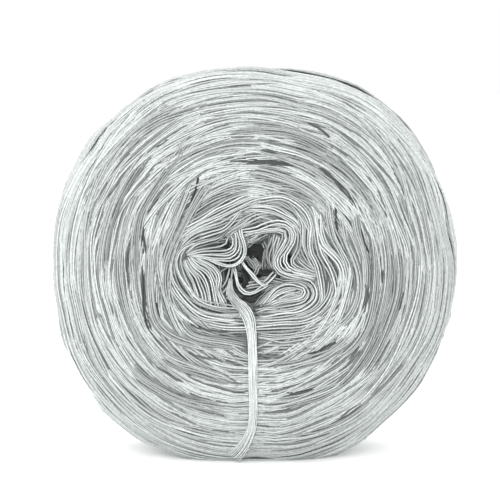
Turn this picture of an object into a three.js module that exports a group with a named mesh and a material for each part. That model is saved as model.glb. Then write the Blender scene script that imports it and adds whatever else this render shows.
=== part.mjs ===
// A yarn cake that stands on its rim. Four fine threads are wound side by side into a thick disc with
// round shoulders, a crumpled hollow in each end face, and garlands of turns that hang round each hollow.
// The loose yarn end comes out of the front hollow and lies straight down the front face. Millimetres. X
// is to the right, Y goes from the front end face to the back one, and Z is up. The origin is on the
// surface below the middle of the cake.

import * as THREE from "three";

// Driving dimensions of the wound form.
const RIM_RADIUS = 70.5; // the rim, measured from the winding axis
const HALF_THICKNESS = 36; // from the middle plane to the crown of an end face
const FLAT_CUT = 5.5; // how far the rim is pressed flat where the cake stands
const AXIS_HEIGHT = RIM_RADIUS - FLAT_CUT;
const SHOULDER_POWER = 2.3; // 2 is an ellipse, and a larger power is a squarer shoulder
const TOP_SAG = { at: 88, depth: 1.3, spread: 0.45 }; // where the top has sunk: degrees, depth and radians
const CORNER_SWELL = 0.5; // the rim swells by this much at four corners, between top, sides and foot

// How finely the form is divided: round the axis, down a hollow, and from a hollow's lip to the middle of
// the rim.
const AROUND = 96;
const HOLLOW_RINGS = 7;
const FACE_RINGS = 20;
const RING_CROWDING = 1.15; // above 1, the rings of a face lie closer together near the hollow

// The two hollows: side is the way its end face looks along Y. The pit is its deepest place and the lip
// is its upper edge, each with its middle measured from the winding axis. oval is how much wider than
// high the lip is, as a radius.
const HOLLOWS = {
  front: { side: -1, depth: 25, lipRadius: 22, oval: 2.5, lipX: -0.5, lipZ: 4, pitX: 1, pitZ: -0.5 },
  back: { side: 1, depth: 21, lipRadius: 22, oval: 1.5, lipX: 1, lipZ: -1, pitX: 0, pitZ: 1 },
};

// Powers that shape a hollow: how far its slope keeps off the pit, how gently it meets the lip, and how
// its middle moves from the pit's to the lip's.
const HOLLOW_SHAPE = { pit: 2.2, lip: 2, lean: 1.5 };

// Folds in the wall of a hollow: at is the angle from +X towards +Z, width is its half-width, both in
// degrees, and rise is how far it stands into the hollow. A negative rise is a crease.
const FOLDS = {
  front: [
    { at: 172, width: 10, rise: -5.0 },
    { at: 200, width: 13, rise: 3.6 },
    { at: 228, width: 9, rise: -1.6 },
    { at: 262, width: 15, rise: 2.0 },
    { at: 312, width: 15, rise: 4.4 },
    { at: 341, width: 9, rise: -3.6 },
    { at: 12, width: 14, rise: 3.8 },
    { at: 46, width: 9, rise: -2.2 },
    { at: 74, width: 12, rise: 2.4 },
    { at: 104, width: 10, rise: -1.2 },
    { at: 136, width: 15, rise: 4.2 },
  ],
  back: [
    { at: 15, width: 13, rise: 3.4 },
    { at: 44, width: 9, rise: -3.0 },
    { at: 82, width: 15, rise: 3.8 },
    { at: 118, width: 10, rise: -2.2 },
    { at: 152, width: 14, rise: 3.0 },
    { at: 190, width: 11, rise: -3.6 },
    { at: 226, width: 14, rise: 4.0 },
    { at: 268, width: 11, rise: -2.4 },
    { at: 305, width: 15, rise: 3.2 },
    { at: 342, width: 10, rise: -2.0 },
  ],
};
const FOLD_TWIST = 1.3; // radians by which a fold winds round between the lip and the pit
const FOLD_DRAW = 0.65; // how much of its rise draws the wall inwards

// Garlands: bundles of turns that come in from the rim, turn at their least distance from the axis and go
// out again. Each row holds count garlands, the first at angle first. turn is the least distance from the
// axis, climb the millimetres that a garland goes outwards for each radian, reach its half-length in
// degrees, width its half-width and height how far it stands up.
const GARLAND_ROWS = {
  front: [
    { turn: 28, count: 5, first: 20, climb: 18, reach: 40, width: 4.6, height: 2.2 },
    { turn: 35.5, count: 6, first: 52, climb: 18, reach: 35, width: 4.8, height: 2.3 },
    { turn: 43, count: 7, first: 15, climb: 17, reach: 31, width: 5.0, height: 2.2 },
    { turn: 50.5, count: 8, first: 44, climb: 15, reach: 27, width: 5.0, height: 2.0 },
    { turn: 58, count: 9, first: 18, climb: 13, reach: 24, width: 5.0, height: 1.7 },
    { turn: 65, count: 10, first: 36, climb: 11, reach: 21, width: 4.4, height: 1.3 },
  ],
  back: [
    { turn: 29, count: 5, first: 44, climb: 18, reach: 40, width: 4.6, height: 2.2 },
    { turn: 37, count: 6, first: 12, climb: 18, reach: 35, width: 4.8, height: 2.2 },
    { turn: 45, count: 7, first: 38, climb: 17, reach: 30, width: 5.0, height: 2.1 },
    { turn: 53, count: 8, first: 20, climb: 15, reach: 26, width: 5.0, height: 1.9 },
    { turn: 61, count: 9, first: 40, climb: 12, reach: 23, width: 4.8, height: 1.5 },
  ],
};
const GARLAND_ROUNDING = 0.3; // radians over which a garland turns from coming in to going out
const GARLAND_EDGE = 0.65; // how much narrower its steep side is, the one towards the hollow
const GARLAND_UNEVEN_ANGLE = 8; // degrees by which garlands of a row lie unevenly round it
const GARLAND_UNEVEN_TURN = 1.6; // millimetres by which their turns lie nearer in or farther out
const GARLAND_FADE = 0.2; // radians over which an end of a garland sinks in
const GARLAND_START = { from: 0.75, to: 1.05 }; // the rings over which garlands appear above the hollow

// Bands of turns that cross the rim from shoulder to shoulder, as many leaning one way as the other. lean
// is in degrees from the rim's own direction, and reach is how far along Y they go from the middle plane.
const RIM_BANDS = { count: 18, lean: 27, width: 3.6, height: 1.2, reach: 30, fade: 8, uneven: 0.05 };
const RIM_START = { from: 1.5, to: 1.7 }; // the rings over which the rim's bands appear on the shoulder

// The straight lane down the front face that the yarn end lies in: nothing is raised there. top is
// measured from the winding axis.
const LANE = { x: 0.5, halfWidth: 2.6, blend: 3.5, top: -8 };

// The yarn end: four threads side by side, so its section is a flat oval.
const YARN_END = { width: 2.8, thickness: 1.1, sides: 8, step: 3.2 };

// Its route, by hand, as the middle of the band: out of the front hollow at the first point, over its
// lip, down the front face, and under the shoulder to the last point, just above the surface.
const YARN_END_ROUTE = [
  { x: -7.4, y: -20.6, z: 62.4 },
  { x: -7.7, y: -23.2, z: 59.9 },
  { x: -7.4, y: -27.0, z: 57.6 },
  { x: -5.6, y: -31.2, z: 55.6 },
  { x: -3.4, y: -35.2, z: 54.0 },
  { x: -1.6, y: -37.5, z: 51.4 },
  { x: -0.6, y: -37.3, z: 47.0 },
  { x: -0.1, y: -36.6, z: 39.0 },
  { x: -0.1, y: -35.7, z: 32.0 },
  { x: 0.0, y: -34.65, z: 27.0 },
  { x: 0.1, y: -33.4, z: 22.5 },
  { x: 0.0, y: -31.5, z: 17.5 },
  { x: -0.5, y: -29.4, z: 13.0 },
  { x: -1.8, y: -27.5, z: 9.2 },
  { x: -3.6, y: -25.6, z: 5.8 },
  { x: -5.4, y: -23.85, z: 3.4 },
  { x: -6.9, y: -22.3, z: 1.9 },
];

const COLOURS = {
  winding: new THREE.Color(0.62, 0.65, 0.64),
  end: new THREE.Color(0.72, 0.75, 0.74),
};

const radians = THREE.MathUtils.degToRad;

// A smooth hump: 1 in the middle, falling to 0 at about twice the half-width.
function hump(distance, halfWidth) {
  return Math.exp(-((distance / halfWidth) ** 2));
}

// The signed difference of two angles in radians, from -pi to pi.
function turnBetween(angle, from) {
  return Math.atan2(Math.sin(angle - from), Math.cos(angle - from));
}

// The rim's radius at an angle: a circle that has sunk a little at the top and swelled at its four corners.
function rimRadius(angle) {
  const top = turnBetween(angle, radians(TOP_SAG.at));
  return RIM_RADIUS - TOP_SAG.depth * hump(top, TOP_SAG.spread) - CORNER_SWELL * Math.cos(4 * angle);
}

// How far a ring of a hollow lies from the hollow's middle at an angle. The folds draw it in and let it
// out, less and less towards the pit, and they wind round on their way down.
function hollowRadius(hollow, folds, angle, ring) {
  let radius = hollow.lipRadius + hollow.oval * Math.cos(2 * angle);
  const wound = FOLD_TWIST * (1 - ring);
  for (const fold of folds) {
    const turned = turnBetween(angle, radians(fold.at) + wound);
    radius -= FOLD_DRAW * fold.rise * ring * hump(turned, radians(fold.width));
  }
  return radius * ring;
}

// A point of the smooth form. ring goes from 0 in the middle of the hollow to 1 at its lip and 2 at the
// middle of the rim.
function formPoint(hollow, folds, angle, ring) {
  let radius;
  let height;
  let lean;
  if (ring <= 1) {
    radius = hollowRadius(hollow, folds, angle, ring);
    height = HALF_THICKNESS - hollow.depth * (1 - ring ** HOLLOW_SHAPE.pit) ** HOLLOW_SHAPE.lip;
    lean = ring ** HOLLOW_SHAPE.lean;
  } else {
    const swing = ((ring - 1) * Math.PI) / 2;
    const lip = hollowRadius(hollow, folds, angle, 1);
    radius = lip + (rimRadius(angle) - lip) * Math.sin(swing) ** (2 / SHOULDER_POWER);
    height = HALF_THICKNESS * Math.cos(swing) ** (2 / SHOULDER_POWER);
    lean = 1;
  }
  const fade = ring <= 1 ? 1 : Math.cos(((ring - 1) * Math.PI) / 2) ** 2;
  const shiftX = fade * (hollow.pitX + (hollow.lipX - hollow.pitX) * lean);
  const shiftZ = fade * (hollow.pitZ + (hollow.lipZ - hollow.pitZ) * lean);
  return new THREE.Vector3(
    shiftX + radius * Math.cos(angle),
    hollow.side * height,
    shiftZ + radius * Math.sin(angle),
  );
}

// The outward normal of the smooth form, from points a little to each side.
function formNormal(hollow, folds, angle, ring) {
  const small = 0.01;
  const inner = formPoint(hollow, folds, angle, Math.max(ring - small, 0.001));
  const outer = formPoint(hollow, folds, angle, Math.min(ring + small, 1.999));
  const before = formPoint(hollow, folds, angle - small, ring);
  const after = formPoint(hollow, folds, angle + small, ring);
  const normal = outer.sub(inner).cross(after.sub(before)).normalize();
  return normal.multiplyScalar(-hollow.side);
}

// The garlands of an end face as single bundles, spread unevenly round their rows.
function garlandsOf(rows) {
  const garlands = [];
  for (const row of rows) {
    for (let i = 0; i < row.count; i += 1) {
      const uneven = Math.sin(2.4 * i + row.turn);
      const unevenTurn = Math.sin(4.1 * i + 2 * row.turn);
      garlands.push({
        ...row,
        at: radians(row.first + (360 * i) / row.count + GARLAND_UNEVEN_ANGLE * uneven),
        turn: row.turn + GARLAND_UNEVEN_TURN * unevenTurn,
      });
    }
  }
  return garlands;
}

// How far the garlands stand up at a point of an end face, given by its angle and its distance from the
// axis.
function garlandHeight(garlands, angle, radius) {
  let height = 0;
  for (const garland of garlands) {
    const turned = turnBetween(angle, garland.at);
    const rounded = Math.hypot(turned, GARLAND_ROUNDING);
    const middle = garland.turn + garland.climb * (rounded - GARLAND_ROUNDING);
    const slope = (garland.climb * turned) / rounded / radius;
    const across = (radius - middle) / Math.hypot(1, slope);
    const width = across > 0 ? garland.width : GARLAND_EDGE * garland.width;
    const left = radians(garland.reach) - Math.abs(turned);
    const along = THREE.MathUtils.smoothstep(left, 0, GARLAND_FADE);
    height = Math.max(height, garland.height * along * hump(across, width));
  }
  return height;
}

// How far the crossing bands stand up at a point of the rim, given by its angle and its place along Y.
function rimBandHeight(angle, y) {
  let height = 0;
  for (let i = 0; i < RIM_BANDS.count; i += 1) {
    const lean = radians(i % 2 ? RIM_BANDS.lean : -RIM_BANDS.lean);
    const at = 2 * Math.PI * (i / RIM_BANDS.count + RIM_BANDS.uneven * Math.sin(3 * i));
    const across = turnBetween(angle, at) * RIM_RADIUS * Math.sin(lean) - y * Math.cos(lean);
    height = Math.max(height, RIM_BANDS.height * hump(across, RIM_BANDS.width));
  }
  return height * THREE.MathUtils.smoothstep(RIM_BANDS.reach - Math.abs(y), 0, RIM_BANDS.fade);
}

// 0 inside the lane of the yarn end, 1 away from it.
function outsideLane(point) {
  if (point.y > 0 || point.z > LANE.top) {
    return 1;
  }
  return THREE.MathUtils.smoothstep(Math.abs(point.x - LANE.x) - LANE.halfWidth, 0, LANE.blend);
}

// A point of the finished surface, measured from the winding axis.
function surfacePoint(hollow, folds, garlands, angle, ring) {
  const point = formPoint(hollow, folds, angle, ring);
  const radius = Math.hypot(point.x, point.z);
  const onFace = THREE.MathUtils.smoothstep(ring, GARLAND_START.from, GARLAND_START.to);
  const onRim = THREE.MathUtils.smoothstep(ring, RIM_START.from, RIM_START.to);
  const raised = Math.max(
    onFace * garlandHeight(garlands, angle, radius),
    onRim * rimBandHeight(angle, point.y),
  );
  const normal = formNormal(hollow, folds, angle, ring);
  return point.addScaledVector(normal, raised * outsideLane(point));
}

// The rings from the middle of the front hollow over the rim to the middle of the back one, without the
// two middles.
function ringList() {
  const rings = [];
  for (let i = 1; i <= HOLLOW_RINGS; i += 1) {
    rings.push({ end: "front", ring: i / HOLLOW_RINGS });
  }
  for (let i = 1; i <= FACE_RINGS; i += 1) {
    rings.push({ end: "front", ring: 1 + (i / FACE_RINGS) ** RING_CROWDING });
  }
  for (let i = FACE_RINGS - 1; i >= 1; i -= 1) {
    rings.push({ end: "back", ring: 1 + (i / FACE_RINGS) ** RING_CROWDING });
  }
  for (let i = HOLLOW_RINGS; i >= 1; i -= 1) {
    rings.push({ end: "back", ring: i / HOLLOW_RINGS });
  }
  return rings;
}

// The wound cake: a closed skin of quadrilaterals, each cut into two triangles, with a fan of triangles
// in the middle of each hollow. What would lie below the surface is pressed flat on it.
function woundCake() {
  const garlands = {
    front: garlandsOf(GARLAND_ROWS.front),
    back: garlandsOf(GARLAND_ROWS.back),
  };
  const pointAt = (end, angle, ring) =>
    surfacePoint(HOLLOWS[end], FOLDS[end], garlands[end], angle, ring);

  const rings = ringList();
  const points = [pointAt("front", 0, 0)];
  for (const { end, ring } of rings) {
    for (let i = 0; i < AROUND; i += 1) {
      points.push(pointAt(end, (2 * Math.PI * i) / AROUND, ring));
    }
  }
  points.push(pointAt("back", 0, 0));

  const at = (ring, i) => 1 + ring * AROUND + (i % AROUND);
  const last = points.length - 1;
  const triangles = [];
  for (let i = 0; i < AROUND; i += 1) {
    triangles.push(0, at(0, i), at(0, i + 1));
    for (let ring = 0; ring < rings.length - 1; ring += 1) {
      triangles.push(at(ring, i), at(ring + 1, i), at(ring + 1, i + 1));
      triangles.push(at(ring, i), at(ring + 1, i + 1), at(ring, i + 1));
    }
    triangles.push(last, at(rings.length - 1, i + 1), at(rings.length - 1, i));
  }

  for (const point of points) {
    point.z = Math.max(point.z + AXIS_HEIGHT, 0);
  }
  const geometry = new THREE.BufferGeometry().setFromPoints(points).setIndex(triangles);
  return centredOnSurface(geometry);
}

// Moves a geometry so that the middle of its box is above the origin.
function centredOnSurface(geometry) {
  geometry.computeBoundingBox();
  const middle = geometry.boundingBox.getCenter(new THREE.Vector3());
  return geometry.translate(-middle.x, -middle.y, 0);
}

// The yarn end: its flat oval section drawn along its route.
function yarnEnd() {
  const { width, thickness, sides, step } = YARN_END;
  const section = new THREE.Shape();
  for (let i = 0; i < sides; i += 1) {
    const angle = (2 * Math.PI * (i + 0.5)) / sides;
    const corner = [(width / 2) * Math.cos(angle), (thickness / 2) * Math.sin(angle)];
    if (i === 0) {
      section.moveTo(...corner);
    } else {
      section.lineTo(...corner);
    }
  }
  const route = YARN_END_ROUTE.map(({ x, y, z }) => new THREE.Vector3(x, y, z));
  const curve = new THREE.CatmullRomCurve3(route, false, "centripetal");
  return new THREE.ExtrudeGeometry(section, {
    steps: Math.round(curve.getLength() / step),
    extrudePath: curve,
  });
}

function piece(name, geometry, colour) {
  const material = new THREE.MeshStandardMaterial({ color: colour, roughness: 0.85, metalness: 0 });
  const mesh = new THREE.Mesh(geometry, material);
  mesh.name = name;
  return mesh;
}

const yarnCake = new THREE.Group();
yarnCake.add(piece("wound_cake", woundCake(), COLOURS.winding));
yarnCake.add(piece("yarn_end", yarnEnd(), COLOURS.end));

export default yarnCake;
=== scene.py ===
import math
from collections import namedtuple

import bpy
import numpy as np
from bpy.props import FloatProperty, FloatVectorProperty, IntProperty, PointerProperty
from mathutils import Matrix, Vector
from mathutils.bvhtree import BVHTree


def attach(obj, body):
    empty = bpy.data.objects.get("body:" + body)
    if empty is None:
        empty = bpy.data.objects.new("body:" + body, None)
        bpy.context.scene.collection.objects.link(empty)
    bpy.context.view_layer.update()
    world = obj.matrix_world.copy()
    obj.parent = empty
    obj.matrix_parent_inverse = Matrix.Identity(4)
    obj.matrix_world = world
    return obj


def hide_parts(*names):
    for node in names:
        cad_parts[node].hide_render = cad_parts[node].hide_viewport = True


bl_info = {
    "name": "Yarn Cake",
    "version": (1, 0, 0),
    "blender": (4, 5, 0),
    "location": "3D View > Sidebar > Yarn Cake",
    "description": "Winds a yarn cake out of thousands of fine threads, laid on its measured form",
    "category": "Add Mesh",
}

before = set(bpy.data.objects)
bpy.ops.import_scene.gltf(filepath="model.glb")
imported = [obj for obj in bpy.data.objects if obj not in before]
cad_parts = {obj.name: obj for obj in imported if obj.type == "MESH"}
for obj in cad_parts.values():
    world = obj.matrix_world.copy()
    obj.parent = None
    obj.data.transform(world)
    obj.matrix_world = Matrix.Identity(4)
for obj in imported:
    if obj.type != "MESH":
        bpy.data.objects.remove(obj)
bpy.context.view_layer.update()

# The tables below are in millimetres and degrees unless they say otherwise. The scene is in metres.
MM = 0.001
PICTURE = 500  # pixels across the square picture

# The wound form: its rim, its thickness, the winding axis and its two hollows, as the solid has them.
RIM_RADIUS = 70.5
HALF_THICKNESS = 36.0
AXIS_HEIGHT = 65.0
SHOULDER_POWER = 2.3
Hollow = namedtuple("Hollow", "side depth lip oval lip_x lip_z pit_x pit_z")
HOLLOWS = {
    "front": Hollow(-1, 25.0, 22.0, 2.5, -0.5, 4.0, 1.0, -0.5),
    "back": Hollow(1, 21.0, 22.0, 1.5, 1.0, -1.0, 0.0, 1.0),
}

# Where the rim is drawn in a little: an angle from the right, seen from the front, and how far.
RIM_SETBACK = [(0, 0.4), (15, 0.9), (30, 0.0), (60, 0.0), (75, 1.3), (90, 0.4), (120, 0.2), (135, 1.1),
               (165, 1.5), (180, 2.3), (195, 1.2), (210, 0.5), (225, 0.1), (300, 0.0), (315, 0.8),
               (330, 1.2), (345, 0.1)]

# Garlands: bundles of turns that come in from the rim, turn at their least distance from the axis and
# go out again. turn is that distance, climb the way outwards for each radian, reach the half-length.
Row = namedtuple("Row", "turn count first climb reach width")
GARLAND_ROWS = {
    "front": [
        Row(28, 5, 20, 18, 40, 4.6),
        Row(35.5, 6, 52, 18, 35, 4.8),
        Row(43, 7, 15, 17, 31, 5.0),
        Row(50.5, 8, 44, 15, 27, 5.0),
        Row(58, 9, 18, 13, 24, 5.0),
        Row(65, 10, 36, 11, 21, 4.4),
    ],
    "back": [
        Row(29, 5, 44, 18, 40, 4.6),
        Row(37, 6, 12, 18, 35, 4.8),
        Row(45, 7, 38, 17, 30, 5.0),
        Row(53, 8, 20, 15, 26, 5.0),
        Row(61, 9, 40, 12, 23, 4.8),
    ],
}
GARLAND_ROUNDING = 0.3  # radians over which a garland turns from coming in to going out
GARLAND_UNEVEN_ANGLE = 8
GARLAND_UNEVEN_TURN = 1.6
GARLAND_LEAN = 0.55  # how much one end of a garland lies over its neighbour and the other end under

# Yarns round and in the front hollow, placed from the front. Each line gives picture pixels.
# width is from its first thread to its last one at the start, middle and end, also in pixels, and lift is
# how far it stands out from the wall there, in millimetres. Rows go from the deepest to the topmost.
# A bundle's tone is partly painted light and shade: the darkest rows are painted shade alone, and the
# palest reach the painted light of the palest colour.
Bundle = namedtuple("Bundle", "threads tone lift width line")
HOLLOW_BUNDLES = [Bundle(*row) for row in (
    # threads across the depth of the pit
    (5, 0.52, (0, 0.4, 0), (8, 11, 8), [(238, 290), (250, 286), (264, 283), (284, 281)]),
    (4, 0.54, (0, 0.4, 0), (6, 9, 6), [(254, 307), (262, 298), (272, 290), (286, 285)]),
    (4, 0.50, (0, 0.4, 0), (6, 9, 8), [(214, 299), (226, 300), (240, 305), (252, 310)]),
    (4, 0.52, (0, 0.4, 0), (6, 8, 6), [(219, 262), (222, 274), (222, 286), (219, 300)]),
    (5, 0.50, (0, 0.3, 0), (8, 11, 8), [(222, 236), (230, 246), (238, 257), (240, 270)]),
    (5, 0.66, (0, 0.8, 0), (6, 8, 7), [(243, 250), (248, 256), (254, 263), (258, 270)]),
    (3, 0.50, (0, 0.6, 0), (4, 6, 5), [(234, 271), (242, 274), (252, 278)]),
    (3, 0.66, (0, 0.8, 0), (3, 5, 4), [(239, 287), (248, 283), (260, 281), (270, 281)]),
    (2, 0.72, (0, 0.9, 0), (2, 3, 3), [(241, 290), (250, 287), (262, 285), (276, 283)]),
    (3, 0.66, (0, 0.8, 0), (4, 6, 4), [(257, 304), (264, 297), (272, 290), (284, 286)]),
    (2, 0.72, (0, 1.0, 0), (2, 3, 2), [(254, 275), (257, 270), (261, 263)]),
    (4, 0.72, (0, 0.8, 0), (5, 7, 5), [(262, 278), (274, 279), (286, 282), (298, 281)]),
    # the darkest places: near-black threads that paint the pit's deepest shade
    (9, 0.0, (0.2, 1.3, 0.2), (6, 12, 7), [(243, 251), (251, 251), (259, 250), (266, 250)]),
    (7, 0.0, (0.2, 1.2, 0.2), (4, 8, 4), [(258, 272), (268, 274), (277, 275), (285, 275)]),
    (6, 0.03, (0.2, 1.0, 0.2), (4, 7, 4), [(241, 300), (250, 300), (260, 296), (268, 291)]),
    (4, 0.04, (0, 0.8, 0), (3, 6, 3), [(223, 264), (224, 277), (222, 292)]),
    (5, 0.02, (0, 1.0, 0), (3, 7, 3), [(240, 268), (246, 279), (243, 291)]),
    (4, 0.05, (0, 0.8, 0), (3, 7, 3), [(220, 234), (225, 242), (229, 250)]),
    (5, 0.04, (0, 0.8, 0), (4, 7, 4), [(218, 302), (232, 304), (248, 307)]),
    # the wall above the pit
    (5, 0.62, (0, 0.5, 0), (7, 11, 9), [(206, 240), (216, 238), (228, 235), (240, 233)]),
    (5, 0.66, (0, 0.5, 0), (8, 11, 9), [(238, 213), (252, 213), (266, 219), (280, 220)]),
    (4, 0.60, (0, 0.6, 0), (7, 8, 6), [(236, 240), (248, 241), (258, 237), (268, 233)]),
    (3, 0.88, (0, 1.0, 0), (5, 6, 5), [(226, 234), (238, 227), (250, 221), (262, 217), (274, 220)]),
    (3, 0.92, (0, 1.2, 0), (5, 7, 5), [(222, 236), (234, 229), (247, 220), (262, 213), (276, 212)]),
    (2, 0.78, (0, 1.2, 0), (2, 3, 2), [(243, 252), (251, 243), (262, 235)]),
    (1, 0.90, (0, 1.4, 0), (0, 0, 0), [(242, 248), (250, 240), (258, 235), (266, 232)]),
    # the right wall, whose threads fall and then bend away to the right
    (6, 0.60, (0, 0.4, 0), (10, 13, 10), [(276, 232), (274, 246), (270, 258), (276, 270)]),
    (6, 0.60, (0, 0.4, 0), (10, 12, 8), [(300, 222), (302, 240), (298, 256), (308, 270)]),
    (6, 0.62, (0, 0.4, 0), (9, 10, 6), [(276, 270), (288, 274), (302, 277), (318, 280)]),
    (2, 0.66, (0, 1.0, 0), (3, 2, 3), [(263, 242), (266, 251), (264, 258), (264, 270)]),
    (1, 0.75, (0, 1.2, 0), (0, 0, 0), [(273, 234), (269, 245), (267, 254), (268, 263), (271, 269)]),
    (2, 0.70, (0, 1.2, 0), (3, 3, 3), [(276, 234), (274, 245), (271, 254), (271, 262), (275, 270)]),
    (1, 0.82, (0, 1.2, 0), (0, 0, 0), [(280, 235), (278, 243), (275, 252), (272, 260), (273, 267)]),
    (3, 0.95, (0, 1.8, 0.4), (3, 5, 3), [(240, 239), (252, 234), (266, 231), (279, 230), (286, 234),
     (284, 241), (279, 250), (275, 258), (275, 266), (281, 273), (294, 277), (308, 279), (317, 280)]),
    (2, 0.80, (0, 1.6, 0.4), (2, 3, 2), [(272, 227), (284, 226), (290, 231), (290, 241), (285, 250),
     (280, 257), (279, 264), (284, 271), (298, 274), (316, 278)]),
    (2, 1.00, (0, 2.2, 0.5), (3, 3, 2), [(242, 231), (256, 229), (268, 224), (279, 222), (289, 225),
     (295, 233), (294, 242), (289, 250), (285, 257), (286, 265), (293, 271), (304, 274), (317, 277)]),
    (2, 0.82, (0, 1.6, 0.3), (2, 3, 2), [(290, 222), (297, 228), (300, 238), (299, 247), (295, 255),
     (292, 262), (299, 268), (310, 272), (319, 276)]),
    (3, 0.85, (0, 1.6, 0.3), (4, 5, 3), [(294, 214), (302, 222), (303, 236), (303, 247), (307, 257),
     (313, 266), (320, 275)]),
    (2, 0.80, (0, 1.5, 0.3), (2, 3, 2), [(297, 256), (301, 262), (308, 267), (317, 272)]),
    # the lower right: a pale looped bundle, its turns one round another
    (6, 0.62, (0, 0.6, 0), (8, 12, 8), [(262, 308), (280, 303), (298, 298), (312, 290)]),
    (2, 0.90, (0, 1.8, 0.4), (3, 2, 3), [(274, 304), (284, 301), (296, 300), (303, 296), (298, 294),
     (288, 294), (278, 297)]),
    (4, 0.95, (0, 1.9, 0.4), (5, 8, 5), [(268, 304), (279, 297), (292, 292), (304, 290)]),
    (3, 1.00, (0, 2.6, 0.6), (4, 5, 4), [(261, 307), (268, 299), (276, 290), (287, 285), (298, 286),
     (305, 290), (303, 296), (292, 300), (278, 303), (266, 308)]),
    (2, 0.88, (0, 2.2, 0.6), (3, 3, 3), [(282, 282), (296, 282), (307, 286), (311, 293), (307, 301),
     (295, 306), (280, 309), (262, 312)]),
    (2, 0.95, (0, 2.0, 0.6), (3, 3, 3), [(300, 280), (310, 283), (315, 290), (315, 298), (308, 305),
     (295, 311), (278, 313), (260, 315)]),
    (3, 0.85, (0, 1.6, 0.4), (4, 5, 5), [(317, 281), (320, 291), (319, 301), (311, 309), (297, 314),
     (278, 317), (258, 318)]),
    # the lower left: a fan that starts in a pinch and falls steeply
    (6, 0.48, (0, 0.4, 0), (6, 14, 14), [(188, 262), (192, 276), (197, 289), (202, 304)]),
    (5, 0.50, (0, 0.4, 0), (6, 12, 12), [(194, 256), (206, 268), (212, 282), (212, 302)]),
    (2, 0.85, (0.4, 1.6, -1), (1, 4, 4), [(182, 261), (184, 270), (189, 280), (192, 289), (197, 304)]),
    (2, 0.92, (0.4, 1.9, -1), (1, 4, 4), [(184, 260), (188, 270), (194, 279), (198, 289), (203, 309)]),
    (2, 0.88, (0.4, 2.2, -1), (1, 3, 3), [(186, 260), (191, 269), (199, 277), (204, 286), (209, 311)]),
    (2, 1.00, (0.5, 2.6, -1), (1, 4, 4), [(188, 257), (194, 266), (203, 273), (209, 283), (214, 312)]),
    (2, 0.94, (0.5, 2.9, -1), (1, 3, 3), [(190, 256), (198, 264), (208, 270), (214, 280), (217, 296),
     (221, 312)]),
    (3, 1.00, (0.6, 3.4, -1), (1, 5, 4), [(192, 254), (202, 261), (213, 268), (219, 277), (218, 290),
     (223, 301), (228, 311)]),
    # the left: a fan from the same pinch to the right, and the hooked threads that curl up in it
    (5, 0.62, (0, 0.8, 0), (5, 11, 9), [(188, 254), (200, 252), (214, 253), (230, 254)]),
    (3, 0.80, (0.4, 1.5, 0), (2, 5, 4), [(186, 253), (196, 246), (207, 242), (217, 239), (224, 233)]),
    (1, 0.90, (0.4, 2.0, -0.6), (0, 0, 0), [(187, 254), (198, 250), (210, 248), (221, 246), (227, 242),
     (226, 234)]),
    (1, 0.96, (0.4, 2.6, -0.6), (0, 0, 0), [(187, 255), (200, 252), (214, 251), (226, 250), (232, 247),
     (233, 240), (229, 231)]),
    (1, 0.86, (0.4, 2.4, -0.6), (0, 0, 0), [(190, 256), (204, 254), (218, 254), (229, 253), (235, 248),
     (235, 240), (232, 231)]),
    (2, 0.98, (0.5, 3.4, -0.6), (1, 3, 2), [(189, 256), (204, 256), (218, 257), (229, 257), (236, 252),
     (238, 244), (237, 235), (233, 226)]),
    (1, 1.00, (0.5, 3.9, -0.6), (0, 0, 0), [(191, 257), (204, 258), (218, 260), (230, 261), (238, 257),
     (241, 249), (240, 239), (236, 228)]),
    (2, 1.00, (0.8, 4.8, -0.4), (1, 2, 2), [(200, 257), (211, 260), (221, 264), (231, 266), (240, 262),
     (245, 253), (244, 243), (241, 234), (240, 225)]),
    # loose threads over the pit
    (2, 0.80, (0, 2.0, 0), (3, 4, 4), [(231, 263), (230, 274), (227, 284), (219, 294)]),
    (1, 0.80, (0, 1.5, 0), (0, 0, 0), [(228, 267), (220, 272), (214, 275)]),
    (2, 1.00, (1, 4.6, 1.5), (2, 2, 2), [(240, 259), (246, 267), (253, 276), (260, 283), (267, 287)]),
    (1, 0.95, (1.5, 3.2, 0.5), (0, 0, 0), [(265, 287), (270, 281), (277, 273)]),
    (1, 0.85, (0.5, 2.6, 0.5), (0, 0, 0), [(262, 284), (268, 278), (274, 271)]),
    (2, 0.96, (1, 3.8, 1), (2, 2, 3), [(233, 265), (236, 276), (239, 287), (245, 293), (253, 293),
     (260, 289), (268, 284)]),
    # the edge of the hollow above it: wide pale bands that fall to the left, and an arch to the right
    (6, 0.72, (-0.6, 0.5, -0.6), (9, 13, 10), [(176, 232), (192, 217), (212, 203), (236, 194),
     (262, 190)]),
    (5, 0.78, (-0.6, 0.8, -0.6), (7, 9, 8), [(186, 214), (200, 202), (218, 191), (240, 184), (266, 184)]),
    (5, 0.74, (-0.6, 0.6, -0.6), (8, 10, 8), [(262, 190), (284, 188), (304, 194), (320, 208),
     (328, 226)]),
    (6, 0.60, (-0.6, 0.3, -0.6), (8, 13, 9), [(192, 236), (208, 227), (226, 216), (246, 206),
     (268, 202)]),
    (3, 0.84, (-0.6, 0.9, -0.6), (4, 5, 4), [(262, 205), (276, 203), (288, 209), (297, 217), (300, 228)]),
    (4, 0.96, (-0.6, 1.4, -0.6), (5, 7, 5), [(240, 210), (254, 208), (270, 209), (284, 215), (295, 222),
     (301, 232)]),
    (2, 0.95, (-0.2, 2.2, 0.0), (2, 3, 3), [(245, 206), (238, 214), (232, 222), (224, 229), (212, 233),
     (198, 237)]),
    (4, 0.92, (-0.6, 1.3, -0.4), (6, 8, 5), [(246, 213), (230, 220), (214, 226), (198, 231), (186, 239),
     (178, 249), (175, 262)]),
    (5, 0.95, (-0.8, 1.5, -0.6), (8, 10, 7), [(276, 198), (256, 200), (236, 208), (216, 218), (196, 227),
     (180, 238), (170, 252)]),
    (4, 0.86, (-0.8, 1.2, -0.8), (6, 8, 6), [(262, 192), (240, 196), (220, 206), (201, 217), (184, 228),
     (170, 242)]),
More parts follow.
